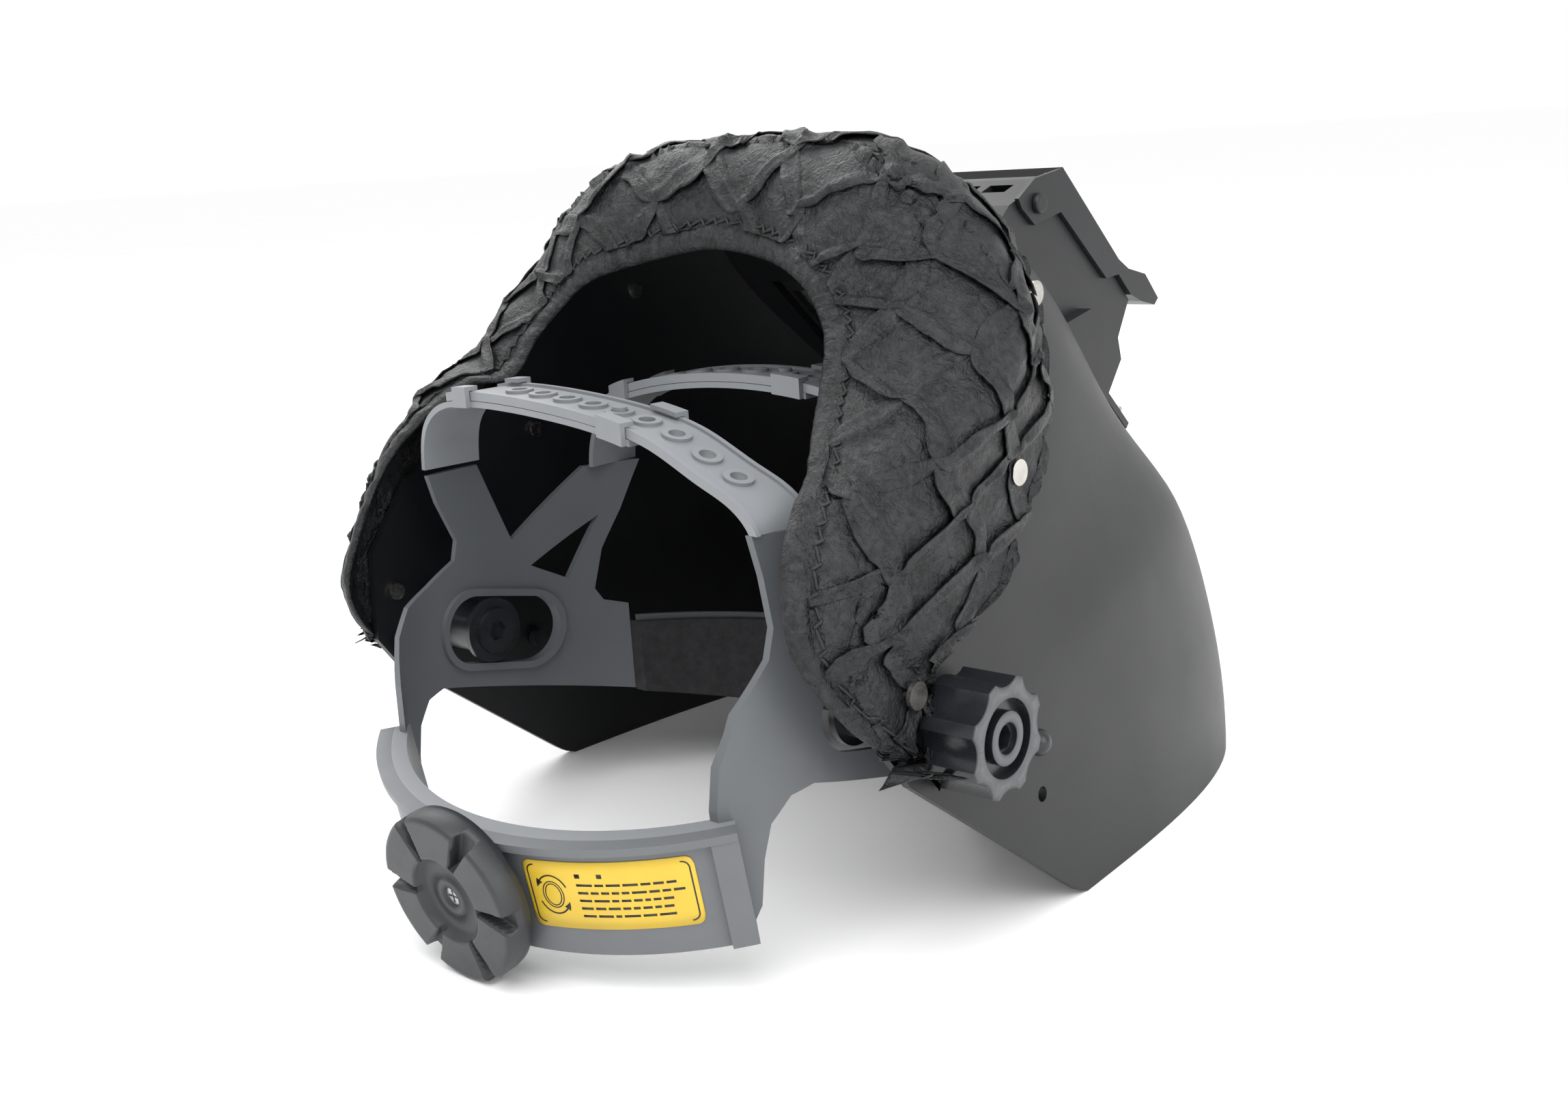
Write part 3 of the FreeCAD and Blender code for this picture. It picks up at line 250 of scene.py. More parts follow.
# painted shade: the grey nylon darkened for the nape cover, whose face turns away from the top light
SHADE_PAINTED_NAPE_NYLON = Finish("nape nylon with painted shade", (0.115, 0.122, 0.131), roughness=0.42, mottle=0.07,
                    mottle_size=0.04, grain_height=0.000012, grain_size=0.0009)
DIAL_NYLON = Finish("dial nylon", (0.022, 0.0235, 0.026), roughness=0.44, mottle=0.12,
                    mottle_size=0.012, grain_height=0.00005, grain_size=0.0006)
KNOB_NYLON = Finish("knob nylon", (0.011, 0.012, 0.0145), roughness=0.27, mottle=0.15,
                    mottle_size=0.01, grain_height=0.00001, grain_size=0.0012)
KNOB_FACE = Finish("knob face", (0.075, 0.079, 0.084), roughness=0.45, mottle=0.06,
                   mottle_size=0.01, grain_height=0.00002, grain_size=0.0005)
PIVOT_NYLON = Finish("pivot nylon", (0.013, 0.014, 0.017), roughness=0.3, mottle=0.2,
                     mottle_size=0.01, grain_height=0.00001)
SOFT_RUBBER = Finish("rubber", (0.012, 0.012, 0.012), roughness=0.7, mottle=0.2)
NICKEL = Finish("nickel rivet", (0.5, 0.48, 0.45), roughness=0.26, metallic=1.0, mottle=0.12,
                mottle_size=0.004, grain_height=0.00008, grain_size=0.0018)
STEEL = Finish("zinc steel", (0.42, 0.43, 0.44), roughness=0.34, metallic=1.0, mottle=0.12,
               mottle_size=0.004, grain_height=0.00002)
CLEAR_LENS = Finish("clear lens", (0.85, 0.9, 0.88), roughness=0.04, mottle=0.02,
                    transmission=0.95, grain_height=0.0)
DARK_LENS = Finish("dark lens", (0.004, 0.009, 0.006), roughness=0.05, mottle=0.2, coat=1.0,
                   grain_height=0.0)
PAD_CLOTH = Finish("pad cloth", (0.018, 0.018, 0.02), roughness=0.92, mottle=0.3,
                   mottle_size=0.004, grain_height=0.0004, grain_size=0.0008)
LABEL_FILM = Finish("label film", (0.62, 0.42, 0.035), roughness=0.38, mottle=0.07,
                    mottle_size=0.02, grain_height=0.00001)
LABEL_INK = Finish("label ink", (0.012, 0.011, 0.009), roughness=0.5, mottle=0.25,
                   mottle_size=0.002)
LEATHER = LeatherFinish("scaled leather", (0.0035, 0.0037, 0.0042), roughness=0.42,
                        specular=0.3, mottle_size=0.02)
THREAD = Finish("waxed thread", (0.006, 0.006, 0.007), roughness=0.6, mottle=0.3,
                mottle_size=0.001, grain_height=0.0001, grain_size=0.0004)

NODE_FINISHES = {
    SHELL_PLASTIC: ("face_shell",),
    BOX_PLASTIC: ("lens_box", "lid_frame", "lid_hinge_pin"),
    GREY_NYLON: ("rear_crown_strap_left", "rear_crown_strap_right", "front_crown_strap_left",
                 "front_crown_strap_right", "ratchet_back_plate", "rack_strap_left",
                 "rack_strap_right"),
    SHADE_PAINTED_NAPE_NYLON: ("ratchet_cover",),
    SHADE_PAINTED_PLATE_NYLON: ("side_plate_left", "side_plate_right", "brow_band"),
    DIAL_NYLON: ("ratchet_knob", "pinion"),
    KNOB_NYLON: ("tension_knob_left", "tension_knob_right"),
    PIVOT_NYLON: ("slide_block_left", "slide_block_right", "stop_pin_left", "stop_pin_right",
                  "pivot_stud_left", "pivot_stud_right"),
    SOFT_RUBBER: ("friction_washer_left", "friction_washer_right", "filter_gasket"),
    NICKEL: ("hood_rivets",),
    STEEL: ("box_screws", "knob_screw", "ratchet_click_spring", "filter_spring",
            "inner_lens_clip"),
    CLEAR_LENS: ("clear_inner_lens", "lid_cover_lens"),
    DARK_LENS: ("dark_filter",),
    PAD_CLOTH: ("brow_pad",),
    LABEL_FILM: ("ratchet_label",),
}


# ---------------------------------------------------------------- mesh tools
def mesh_piece(name: str, points: np.ndarray, faces: list[tuple[int, ...]], finish: Finish,
               body: Body) -> bpy.types.Object:
    """Make one smooth-shaded piece and let it ride on a body.

    Args:
        name: the piece's name.
        points: its points in the frame, in metres.
        faces: its faces, as indices into the points.
        finish: what it is made of.
        body: what it moves with.

    Returns:
        The new object.
    """
    mesh = bpy.data.meshes.new(name)
    mesh.from_pydata([tuple(p) for p in points], [], faces)
    mesh.validate()
    mesh.polygons.foreach_set("use_smooth", [True] * len(mesh.polygons))
    mesh.materials.append(finish.build())
    piece = bpy.data.objects.new(name, mesh)
    bpy.context.scene.collection.objects.link(piece)
    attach(piece, body.value)
    log.info("%s: %d faces on %s", name, len(faces), body.value)
    return piece


def grid_faces(rows: int, columns: int, start: int = 0, flip: bool = False,
               wrap: bool = False) -> list[tuple[int, ...]]:
    """Return the quads of a grid of points.

    Args:
        rows: how many rows of points there are.
        columns: how many points each row has.
        start: the index of the first point.
        flip: whether the faces look the other way.
        wrap: whether the last column joins the first.

    Returns:
        The faces, as indices.
    """
    faces = []
    for i in range(rows - 1):
        for j in range(columns if wrap else columns - 1):
            k = (j + 1) % columns
            quad = (start + i * columns + j, start + i * columns + k,
                    start + (i + 1) * columns + k, start + (i + 1) * columns + j)
            faces.append(quad[::-1] if flip else quad)
    return faces


def slab_faces(rows: int, columns: int, start: int = 0) -> list[tuple[int, ...]]:
    """Return the faces of a closed slab whose top grid comes first and its underside next."""
    under = start + rows * columns
    faces = grid_faces(rows, columns, start) + grid_faces(rows, columns, under, flip=True)
    rim = [j for j in range(columns)]
    rim += [i * columns + columns - 1 for i in range(1, rows)]
    rim += [(rows - 1) * columns + j for j in range(columns - 2, -1, -1)]
    rim += [i * columns for i in range(rows - 2, 0, -1)]
    for a, b in zip(rim, rim[1:] + rim[:1]):
        faces.append((start + b, start + a, under + a, under + b))
    return faces


def through(points: np.ndarray, at: np.ndarray) -> np.ndarray:
    """Run a smooth curve through points and read it at places.

    Args:
        points: the points, the first index running along the curve.
        at: places along it, counted in points.

    Returns:
        One value for each place.
    """
    last = len(points) - 1
    i = np.clip(np.floor(at).astype(int), 0, last - 1)
    t = (at - i).reshape((-1,) + (1,) * (points.ndim - 1))
    p0, p1 = points[np.clip(i - 1, 0, last)], points[i]
    p2, p3 = points[i + 1], points[np.clip(i + 2, 0, last)]
    return 0.5 * (2 * p1 + (p2 - p0) * t + (2 * p0 - 5 * p1 + 4 * p2 - p3) * t * t
                  + (3 * p1 - p0 - 3 * p2 + p3) * t ** 3)


class Ripple:
    """Smooth random waves over a plane, the same on every run."""

    def __init__(self, seed: int) -> None:
        """Fill the table of heights that the waves pass through."""
        self.table = np.random.default_rng(seed).uniform(-1, 1, (256, 256))

    def __call__(self, x: np.ndarray, y: np.ndarray) -> np.ndarray:
        """Return heights between -1 and 1 for places given in wavelengths."""
        i, j = np.floor(x).astype(int), np.floor(y).astype(int)
        a, b = x - i, y - j
        a, b = a * a * (3 - 2 * a), b * b * (3 - 2 * b)
        corner = [self.table[(i + di) % 256, (j + dj) % 256] for di in (0, 1) for dj in (0, 1)]
        near = corner[0] * (1 - b) + corner[1] * b
        far = corner[2] * (1 - b) + corner[3] * b
        return near * (1 - a) + far * a


def tree_of(*names: str) -> BVHTree:
    """Return a search tree over some CAD nodes."""
    points, faces = [], []
    for name in names:
        mesh = NODES[name].data
        start = len(points)
        points += [v.co.copy() for v in mesh.vertices]
        faces += [tuple(start + i for i in polygon.vertices) for polygon in mesh.polygons]
    return BVHTree.FromPolygons(points, faces)


def tilt_axis() -> Vector:
    """Return the place midway between the two tension knobs."""
    low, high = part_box("tension_knob_left")
    return Vector((0.0, (low[1] + high[1]) / 2, (low[2] + high[2]) / 2))


def dress_nodes() -> None:
    """Give every CAD node its finish, and break the sharp edges of the hard ones."""
    plain = {"clear_inner_lens", "lid_cover_lens", "dark_filter", "brow_pad", "ratchet_label",
             "leather_hood", "hood_rivets", "pinion"}
    for finish, names in NODE_FINISHES.items():
        for name in names:
            node = NODES[name]
            node.data.materials.clear()
            node.data.materials.append(finish.build())
            if name not in plain:
                edge = node.modifiers.new("broken edges", "BEVEL")
                edge.width = 0.35 * MM
                edge.segments = 2
                edge.limit_method = "ANGLE"
                edge.angle_limit = math.radians(40)
                edge.harden_normals = True
            log.info("%s dressed as %s", name, finish.name)


# ---------------------------------------------------------------- leather hood
@dataclass
class LeatherHood:
    """The scaled leather hood riveted along the shell's rear edge.

    Stations run from the crown down to the foot behind the left knob.  Each gives the front
    edge and the line over the shell's edge as places (y, z) from the pivot, and the free rear
    edge as (x, y, z), all in millimetres.
    """

    stations: tuple = (
        ((-106, 139), (-66, 155.5), (0, -40.5, 129.6)),
        ((-106, 139), (-66, 154), (25, -38.1, 126.3)),
        ((-103, 134), (-66, 140), (46, -28.8, 120.6)),
        ((-94, 116), (-62, 115), (56, -24.1, 112.9)),
        ((-88, 103), (-50, 98), (63, -18.2, 103.4)),
        ((-80, 86), (-36, 84), (67, -9.0, 91.0)),
        ((-72, 72), (-18, 75), (74, 3.0, 82.1)),
        ((-60, 58), (-4, 66), (84, 18.5, 73.5)),
        ((-46, 46), (12, 55), (92, 34.8, 66.8)),
        ((-33, 33), (22, 42), (99, 47.9, 55.8)),
        ((-8, 22.5), (26, 27), (102.6, 52.2, 37.0)),
        ((-8, 11), (23, 15), (105, 45.9, 22.6)),
        ((-2, 0), (18, 3), (110, 35.0, 7.0)),
        ((9, -9), (14, -8), (116.5, 21.0, -6.0)),
    )
    left_rear: tuple = ((6, (79, 1.0, 89.0)), (7, (88, 14.0, 79.0)),
                        (8, (94.5, 23.0, 69.0)), (9, (98, 31.0, 57.0)),
                        (10, (100.5, 40.0, 38.0)), (11, (104, 43.0, 22.6)))
    puff: tuple[float, ...] = (1, 2, 6, 10, 12, 12, 10, 6, 3, 1, 0, 0, 0, 0)
    knob_clear: float = 20.2
    crown_half: tuple[float, ...] = (0.0, 30.0, 66.0)
    gap: float = 2.0
    rows: int = 620
    columns: int = 132
    scale_long: float = 40.0
    scale_wide: float = 38.0
    pane_rise: float = 2.0
    fold_rise: float = 1.8
    flap_wide: float = 8.0
    flap_lift: float = 1.7
    hem_wide: float = 8.5
    skin: float = 0.9
    stitch_pitch: float = 6.5
    stitch_radius: float = 0.55
    warp: Ripple = field(default_factory=lambda: Ripple(3))
    fine: Ripple = field(default_factory=lambda: Ripple(11))

    def build(self) -> None:
        """Lay the skin, the folded flaps and the stitched hem."""
        self.survey()
        self.skin_piece()
        flaps = self.flap_piece()
        stitches = self.stitch_piece()

    def survey(self) -> None:
        """Work out the smooth surface that the leather lies on."""
        pivot = tilt_axis()
        shell = tree_of("face_shell")
        left, right = [[self.section(i, pivot, shell, side) for i in range(len(self.stations))]
                       for side in (1, -1)]
        flipped = [row * np.array((-1.0, 1.0, 1.0)) for row in right]
        control = np.array(flipped[:0:-1] + left)
        dense = through(control, np.linspace(0, len(control) - 1, 1200))
        steps = np.linalg.norm(np.diff(dense[:, 2], axis=0), axis=1)
        run = np.concatenate([[0], np.cumsum(steps)])
        even = np.interp(np.linspace(0, run[-1], self.rows), run, np.arange(len(run)))
        dense = through(dense, even)
        columns = through(dense.transpose(1, 0, 2), np.linspace(0, 4, 200)).transpose(1, 0, 2)
        steps = np.linalg.norm(np.diff(columns, axis=1), axis=2)
        self.across = np.concatenate([np.zeros((self.rows, 1)), np.cumsum(steps, axis=1)], axis=1)
        self.base = np.empty((self.rows, self.columns, 3))
        self.wide = np.empty((self.rows, self.columns))
        for i in range(self.rows):
            start = self.torn(i / self.rows * run[-1] / MM) * MM
            start = max(start, self.past_knob(columns[i], self.across[i], pivot))
            even = np.linspace(start, self.across[i, -1], self.columns)
            place = np.interp(even, self.across[i], np.arange(200))
            self.base[i] = through(columns[i], place)
            self.wide[i] = even / MM
        self.long = np.linspace(0, run[-1] / MM, self.rows)
        self.base = self.soften(self.base)
        self.lift_clear(shell)
        self.normal = self.normals(self.base)
        self.width = self.wide[:, -1]
        log.info("hood surface %.0f mm round, %.0f mm deep", self.long[-1], self.width.max())

    def torn(self, along: float) -> float:
        """Return how far back the torn front edge starts, in millimetres."""
        place = np.array([along])
        coarse = self.warp(place / 17.0, place * 0 + 3.3)[0]
        small = self.fine(place / 4.5, place * 0 + 7.7)[0]
        return max(2.6 + 2.6 * coarse + 1.6 * small, 0.0)

    def past_knob(self, row: np.ndarray, across: np.ndarray, pivot: Vector) -> float:
        """Return how far across a row the leather has to start to clear a knob, in metres."""
        far = np.hypot(row[:, 1] - pivot.y, row[:, 2] - pivot.z)
        under = np.nonzero(far < self.knob_clear * MM)[0]
        return float(across[under[-1]]) if len(under) else 0.0

    def section(self, station: int, pivot: Vector, shell: BVHTree, side: int) -> np.ndarray:
        """Return the five guide points across the hood at one station.

        Args:
            station: which station, from the crown down.
            pivot: the tilt axis at the mid-plane.
            shell: the face shell, to lie on.
            side: 1 for the left, whose rear edge falls closer to the head, or -1.

        Returns:
            The points from the front edge to the rear edge, in metres.
        """
        front, over, rear = self.stations[station]
        if side > 0:
            rear = dict(self.left_rear).get(station, rear)
        half = ((front[0] + over[0]) / 2, (front[1] + over[1]) / 2)
        if station < len(self.crown_half):
            x = self.crown_half[station]
            out = Vector((0.25 * x / 66.0, 0.35, 0.9)).normalized()
            laid = [self.drop(shell, pivot, x * s, y)
                    for s, y in ((1.0, front[0]), (0.99, half[0]), (0.97, over[0]))]
        else:
            out = Vector((0.85, 0.35, 0.2)).normalized()
            laid = [self.press(shell, pivot, y, z) for y, z in (front, half, over)]
        tail = Vector(rear) * MM + pivot + out * self.gap * MM
        reach = (tail - laid[-1]).length
        puff = Vector((0.75, 0.15, 0.6)) * self.puff[station] * MM
        bulge = (laid[-1] + tail) / 2 + out * 0.16 * reach + puff * 0.75
        return np.array([laid[0], laid[1] + puff * 0.5, laid[2] + puff, bulge, tail])

    def drop(self, shell: BVHTree, pivot: Vector, x: float, y: float) -> Vector:
        """Find the shell's top below a place, and stand off it by the gap."""
        start = Vector((x * MM, y * MM + pivot.y, 0.4))
        hit = shell.ray_cast(start, Vector((0, 0, -1)))[0]
        if hit is None:
            hit = shell.find_nearest(Vector((x * MM, y * MM + pivot.y, 0.16 + pivot.z)))[0]
        return hit + Vector((0, 0.2, 1)) * self.gap * MM

    def press(self, shell: BVHTree, pivot: Vector, y: float, z: float) -> Vector:
        """Find the shell's left side level with a place, and stand off it by the gap."""
        start = Vector((0.3, y * MM + pivot.y, z * MM + pivot.z))
        hit = shell.ray_cast(start, Vector((-1, 0, 0)))[0]
        if hit is None or hit.x < 0.03:
            hit = shell.find_nearest(Vector((0.11, start.y, start.z)))[0]
        return hit + Vector((1, 0, 0)) * self.gap * MM

    def soften(self, points: np.ndarray) -> np.ndarray:
        """Ease the creases that the guide points leave, away from the borders."""
        for _ in range(30):
            inner = (points[:-2, 1:-1] + points[2:, 1:-1] + points[1:-1, :-2]
                     + points[1:-1, 2:]) / 4
            points[1:-1, 1:-1] = inner
        return points

    def lift_clear(self, shell: BVHTree) -> None:
        """Push out every place that lies closer to the shell than the gap."""
        middle = Vector((0.0, -0.01, 0.09))
        for row in self.base:
            for k, place in enumerate(row):
                point = Vector(place)
                near, normal, _, far = shell.find_nearest(point, 0.02)
                if near is None or normal.dot(near - middle) < 0:
                    continue
                height = (point - near).dot(normal)
                if height < self.gap * MM and far < 0.012:
                    row[k] = point + normal * (self.gap * MM - height)

    def normals(self, points: np.ndarray) -> np.ndarray:
        """Return unit vectors out of a grid of points."""
        along, over = np.gradient(points, axis=0), np.gradient(points, axis=1)
        out = np.cross(along, over)
        out /= np.linalg.norm(out, axis=2, keepdims=True) + 1e-12
        if out[self.rows // 2, 20, 2] < 0:
            out = -out
        return out

    def lattice(self, u: np.ndarray, v: np.ndarray) -> tuple[np.ndarray, np.ndarray]:
        """Return the two scale-lattice numbers at places along and across the hood."""
        u, v = self.dragged(u, v)
        return u / self.scale_long + v / self.scale_wide, u / self.scale_long - v / self.scale_wide

    def dragged(self, u: np.ndarray, v: np.ndarray) -> tuple[np.ndarray, np.ndarray]:
        """Return places moved about so that no two scales are alike."""
        du = 4.2 * self.warp(u / 31.0, v / 29.0) + 1.3 * self.warp(u / 9.0 + 40, v / 9.0)
        dv = 4.2 * self.warp(u / 33.0 + 90, v / 27.0) + 1.3 * self.warp(u / 8.0, v / 8.0 + 50)
        return u + du, v + dv

    def relief(self, u: np.ndarray, v: np.ndarray, wide: np.ndarray) -> np.ndarray:
        """Return the leather's height in millimetres.

        Args:
            u: places along the hood.
            v: places across it, from the front.
            wide: the hood's width at each place.

        Returns:
            How far each place stands out of the smooth surface.
        """
        p, q = self.lattice(u, v)
        fp, fq = p - np.floor(p), q - np.floor(q)
        pane = np.clip(16 * fp * (1 - fp) * fq * (1 - fq), 0, 1) ** 0.6
        turn = self.fine(np.floor(p) * 1.37 + 0.5, np.floor(q) * 1.71 + 0.5) * math.pi
        s = u * np.cos(turn) + v * np.sin(turn)
        t = v * np.cos(turn) - u * np.sin(turn)
        height = self.pane_rise * pane
        height += pane * (0.28 * self.fine(s / 2.6, t / 11.0) + 0.3 * self.warp(s / 7.0, t / 13.0))
        for f in (fp, fq):
            near = np.minimum(f, 1 - f) * 0.5 * (self.scale_long + self.scale_wide) / math.sqrt(2)
            height += self.fold_rise * np.exp(-(near / 2.4) ** 2) \
                * (1 + 0.4 * self.warp(u / 6.0, v / 6.0))
        hem = np.clip((v - (wide - self.hem_wide)) / 1.6, 0, 1)
        roll = 1.5 * np.sqrt(np.clip(1 - ((v - wide + self.hem_wide / 2)
                                          / (self.hem_wide / 2)) ** 2, 0, 1))
        roll += 0.45 * self.fine(u / 2.6, v / 9.0) + 0.5 * self.warp(u / 7.0 + v / 9.0, v / 20.0)
        height = height * (1 - hem) + roll * hem
        seam = np.exp(-((v - (wide - self.hem_wide - 0.6)) / 1.1) ** 2)
        height -= 0.9 * seam * (1 - 0.4 * self.fine(u / 3.0, v * 0))
        edge = np.clip(v / 5.0, 0, 1)
        height *= 0.45 + 0.55 * edge
        return height + 0.5 * (1 - edge) * self.fine(u / 3.5, v / 3.5)

    def rivet_dimple(self, points: np.ndarray) -> np.ndarray:
        """Return 0 under each rivet's cap and 1 away from it."""
        mesh = NODES["hood_rivets"].data
        caps = np.array([v.co for v in mesh.vertices])
        tree = BVHTree.FromPolygons([Vector(c) for c in caps],
                                    [tuple(f.vertices) for f in mesh.polygons])
        ease = np.ones(points.shape[:2])
        for i, row in enumerate(points):
            for j, place in enumerate(row):
                far = tree.find_nearest(Vector(place), 0.012)[3]
                if far is not None:
                    ease[i, j] = min(max((far / MM - 0.5) / 7.0, 0.0), 1.0)
        return ease

    def skin_piece(self) -> None:
        """Make the leather skin itself, with its scales and its rolled hem."""
        u = np.repeat(self.long[:, None], self.columns, axis=1)
        wide = np.repeat(self.width[:, None], self.columns, axis=1)
        self.height = self.relief(u, self.wide, wide) * (0.25 + 0.75 * self.rivet_dimple(self.base))
        top = self.base + self.normal * self.height[:, :, None] * MM
        under = self.base - self.normal * self.skin * MM
        points = np.concatenate([top.reshape(-1, 3), under.reshape(-1, 3)])
        self.piece = mesh_piece("leather_skin", points, slab_faces(self.rows, self.columns),
                                LEATHER, Body.SHELL)
        steps_u = np.linalg.norm(np.diff(self.base, axis=0), axis=2)[:, :-1]
        steps_v = np.linalg.norm(np.diff(self.base, axis=1), axis=2)[:-1]
        self.area = float((steps_u * steps_v).sum())
        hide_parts("leather_hood")

    def on_skin(self, u: np.ndarray, v: np.ndarray, lift: np.ndarray) -> np.ndarray:
        """Return points standing off the leather.

        Args:
            u: places along the hood, in millimetres.
            v: places across it.
            lift: heights above the leather's own relief.

        Returns:
            The points, in metres.
        """
        i = np.clip(u / self.long[-1] * (self.rows - 1), 0, self.rows - 1.001)
        row = i.astype(int)
        start, end = self.wide[row, 0], self.wide[row, -1]
        j = np.clip((v - start) / (end - start) * (self.columns - 1), 0, self.columns - 1.001)
        column = j.astype(int)
        a, b = (i - row)[..., None], (j - column)[..., None]
        over = np.minimum(v - start, 0) + np.maximum(v - end, 0)

        def blend(grid: np.ndarray) -> np.ndarray:
            """Read a grid between its points."""
            near = grid[row, column] * (1 - b) + grid[row, column + 1] * b
            far = grid[row + 1, column] * (1 - b) + grid[row + 1, column + 1] * b
            return near * (1 - a) + far * a

        normal = blend(self.normal)
        height = blend(self.height[:, :, None])[..., 0]
        step = self.base[row, np.minimum(column + 1, self.columns - 1)] - self.base[row, column]
        step /= np.linalg.norm(step, axis=-1, keepdims=True) + 1e-12
        return blend(self.base) + normal * ((height + lift) * MM)[..., None] \
            + step * (over * MM)[..., None]

    def unlattice(self, p: np.ndarray, q: np.ndarray) -> tuple[np.ndarray, np.ndarray]:
        """Return the places along and across the hood of two lattice numbers."""
        u0 = self.scale_long * (p + q) / 2
        v0 = self.scale_wide * (p - q) / 2
        u, v = u0, v0
        for _ in range(4):
            moved_u, moved_v = self.dragged(u, v)
            u, v = u + (u0 - moved_u) * 0.8, v + (v0 - moved_v) * 0.8
        return u, v

    def flap_piece(self) -> bpy.types.Object:
        """Make the folded bands that cross at the corners of the scales.

        Returns:
            The object.
        """
        random = np.random.default_rng(5)
        self.strips, self.strip_faces, self.strip_count = [], [], 0
        reach = int(self.long[-1] / self.scale_long) + 4
        for p in range(-2, reach + 4):
            for q in range(-6, reach + 2):
                for kind in (0, 1):
                    end = (p + 1, q) if kind == 0 else (p, q + 1)
                    self.band((p, q), end, random, kind)
        self.fringe(random)
        return mesh_piece("leather_flaps", np.concatenate(self.strips), self.strip_faces,
                          LEATHER, Body.SHELL)

    def band(self, start: tuple[int, int], end: tuple[int, int],
             random: np.random.Generator, kind: int) -> None:
        """Lay one folded band along one side of a scale.

        Args:
            start: the lattice corner that it leaves.
            end: the lattice corner that it reaches.
            random: where its small differences come from.
            kind: 0 or 1, for the two ways that the bands run; not used.
        """
        along, over = 18, 7
        a = np.linspace(-0.07, 1.07, along)
        wide = self.flap_wide * random.uniform(0.75, 1.25)
        lift = self.flap_lift * random.uniform(0.5, 1.4)
        seed = random.uniform(0, 60)
        lean = random.uniform(-0.6, 0.1)
        p = start[0] + (end[0] - start[0]) * a
        q = start[1] + (end[1] - start[1]) * a
        u, v = self.unlattice(p, q)
        middle_u, middle_v = u[along // 2], v[along // 2]
        row = int(np.clip(middle_u / self.long[-1] * (self.rows - 1), 0, self.rows - 1))
        if not (1.0 < middle_u < self.long[-1] - 1.0
                and 1.0 < middle_v < self.width[row] - self.hem_wide + 1.0):
            return
        du, dv = np.gradient(u), np.gradient(v)
        size = np.hypot(du, dv) + 1e-9
        side_u, side_v = -dv / size, du / size
        taper = np.clip(np.sin(np.pi * np.clip((a + 0.1) / 1.2, 0, 1)), 0, 1) ** 0.45
        b = np.linspace(lean, lean + 1, over)
        ragged = 1 + 0.22 * self.fine(a * 4.1 + seed, a * 0 + seed)
        spread = b[None, :] * (wide * taper * ragged)[:, None]
        uu = u[:, None] + side_u[:, None] * spread
        vv = v[:, None] + side_v[:, None] * spread
        f = np.linspace(0, 1, over)
        curl = lift * (0.35 + 0.65 * f ** 1.6)
        folded = 0.35 * self.fine(a[:, None] * 2.2 + seed, b[None, :] * 5.0 + seed)
        height = taper[:, None] * (curl[None, :] + folded) + 0.15
        height[:, 0] = -0.5
        limit = self.width[np.clip((uu / self.long[-1] * (self.rows - 1)).astype(int), 0,
                                   self.rows - 1)] - self.hem_wide + 1.5
        vv = np.minimum(vv, limit)
        self.strip(uu, vv, height, 0.5)

    def strip(self, u: np.ndarray, v: np.ndarray, height: np.ndarray, thick: float) -> None:
        """Add one thin closed strip lying on the leather."""
        u = np.clip(u, 0.3, self.long[-1] - 0.3)
        top = self.on_skin(u, v, height)
        under = self.on_skin(u, v, height - thick)
        rows, columns = u.shape
        self.strips += [top.reshape(-1, 3), under.reshape(-1, 3)]
        self.strip_faces += slab_faces(rows, columns, self.strip_count)
        self.strip_count += 2 * rows * columns

    def fringe(self, random: np.random.Generator) -> None:
        """Add the torn tatters along the front edge."""
        place = 4.0
        while place < self.long[-1] - 8:
            length = random.uniform(7, 20)
            along, over = 10, 5
            a, b = np.linspace(0, 1, along), np.linspace(0, 1, over)
            taper = np.sin(np.pi * np.clip(a * 0.92 + 0.04, 0, 1)) ** 0.5
            row = int(place / self.long[-1] * (self.rows - 1))
            base = self.wide[row, 0] + random.uniform(0.5, 3.0)
            deep = random.uniform(2.0, 5.5)
            jag = 1 + 0.5 * self.fine(a * 3.7 + place, a * 0 + place)
            u = place + a[:, None] * length + b[None, :] * random.uniform(-2, 2)
            v = base - b[None, :] * (deep * taper * jag)[:, None]
            height = 0.2 + random.uniform(0.2, 2.0) * b[None, :] ** 1.5 * taper[:, None]
            height = height + 0.4 * self.fine(a[:, None] * 3 + place, b[None, :] * 3)
            self.strip(u, v, height, 0.55)
            place += length * random.uniform(0.55, 0.95)

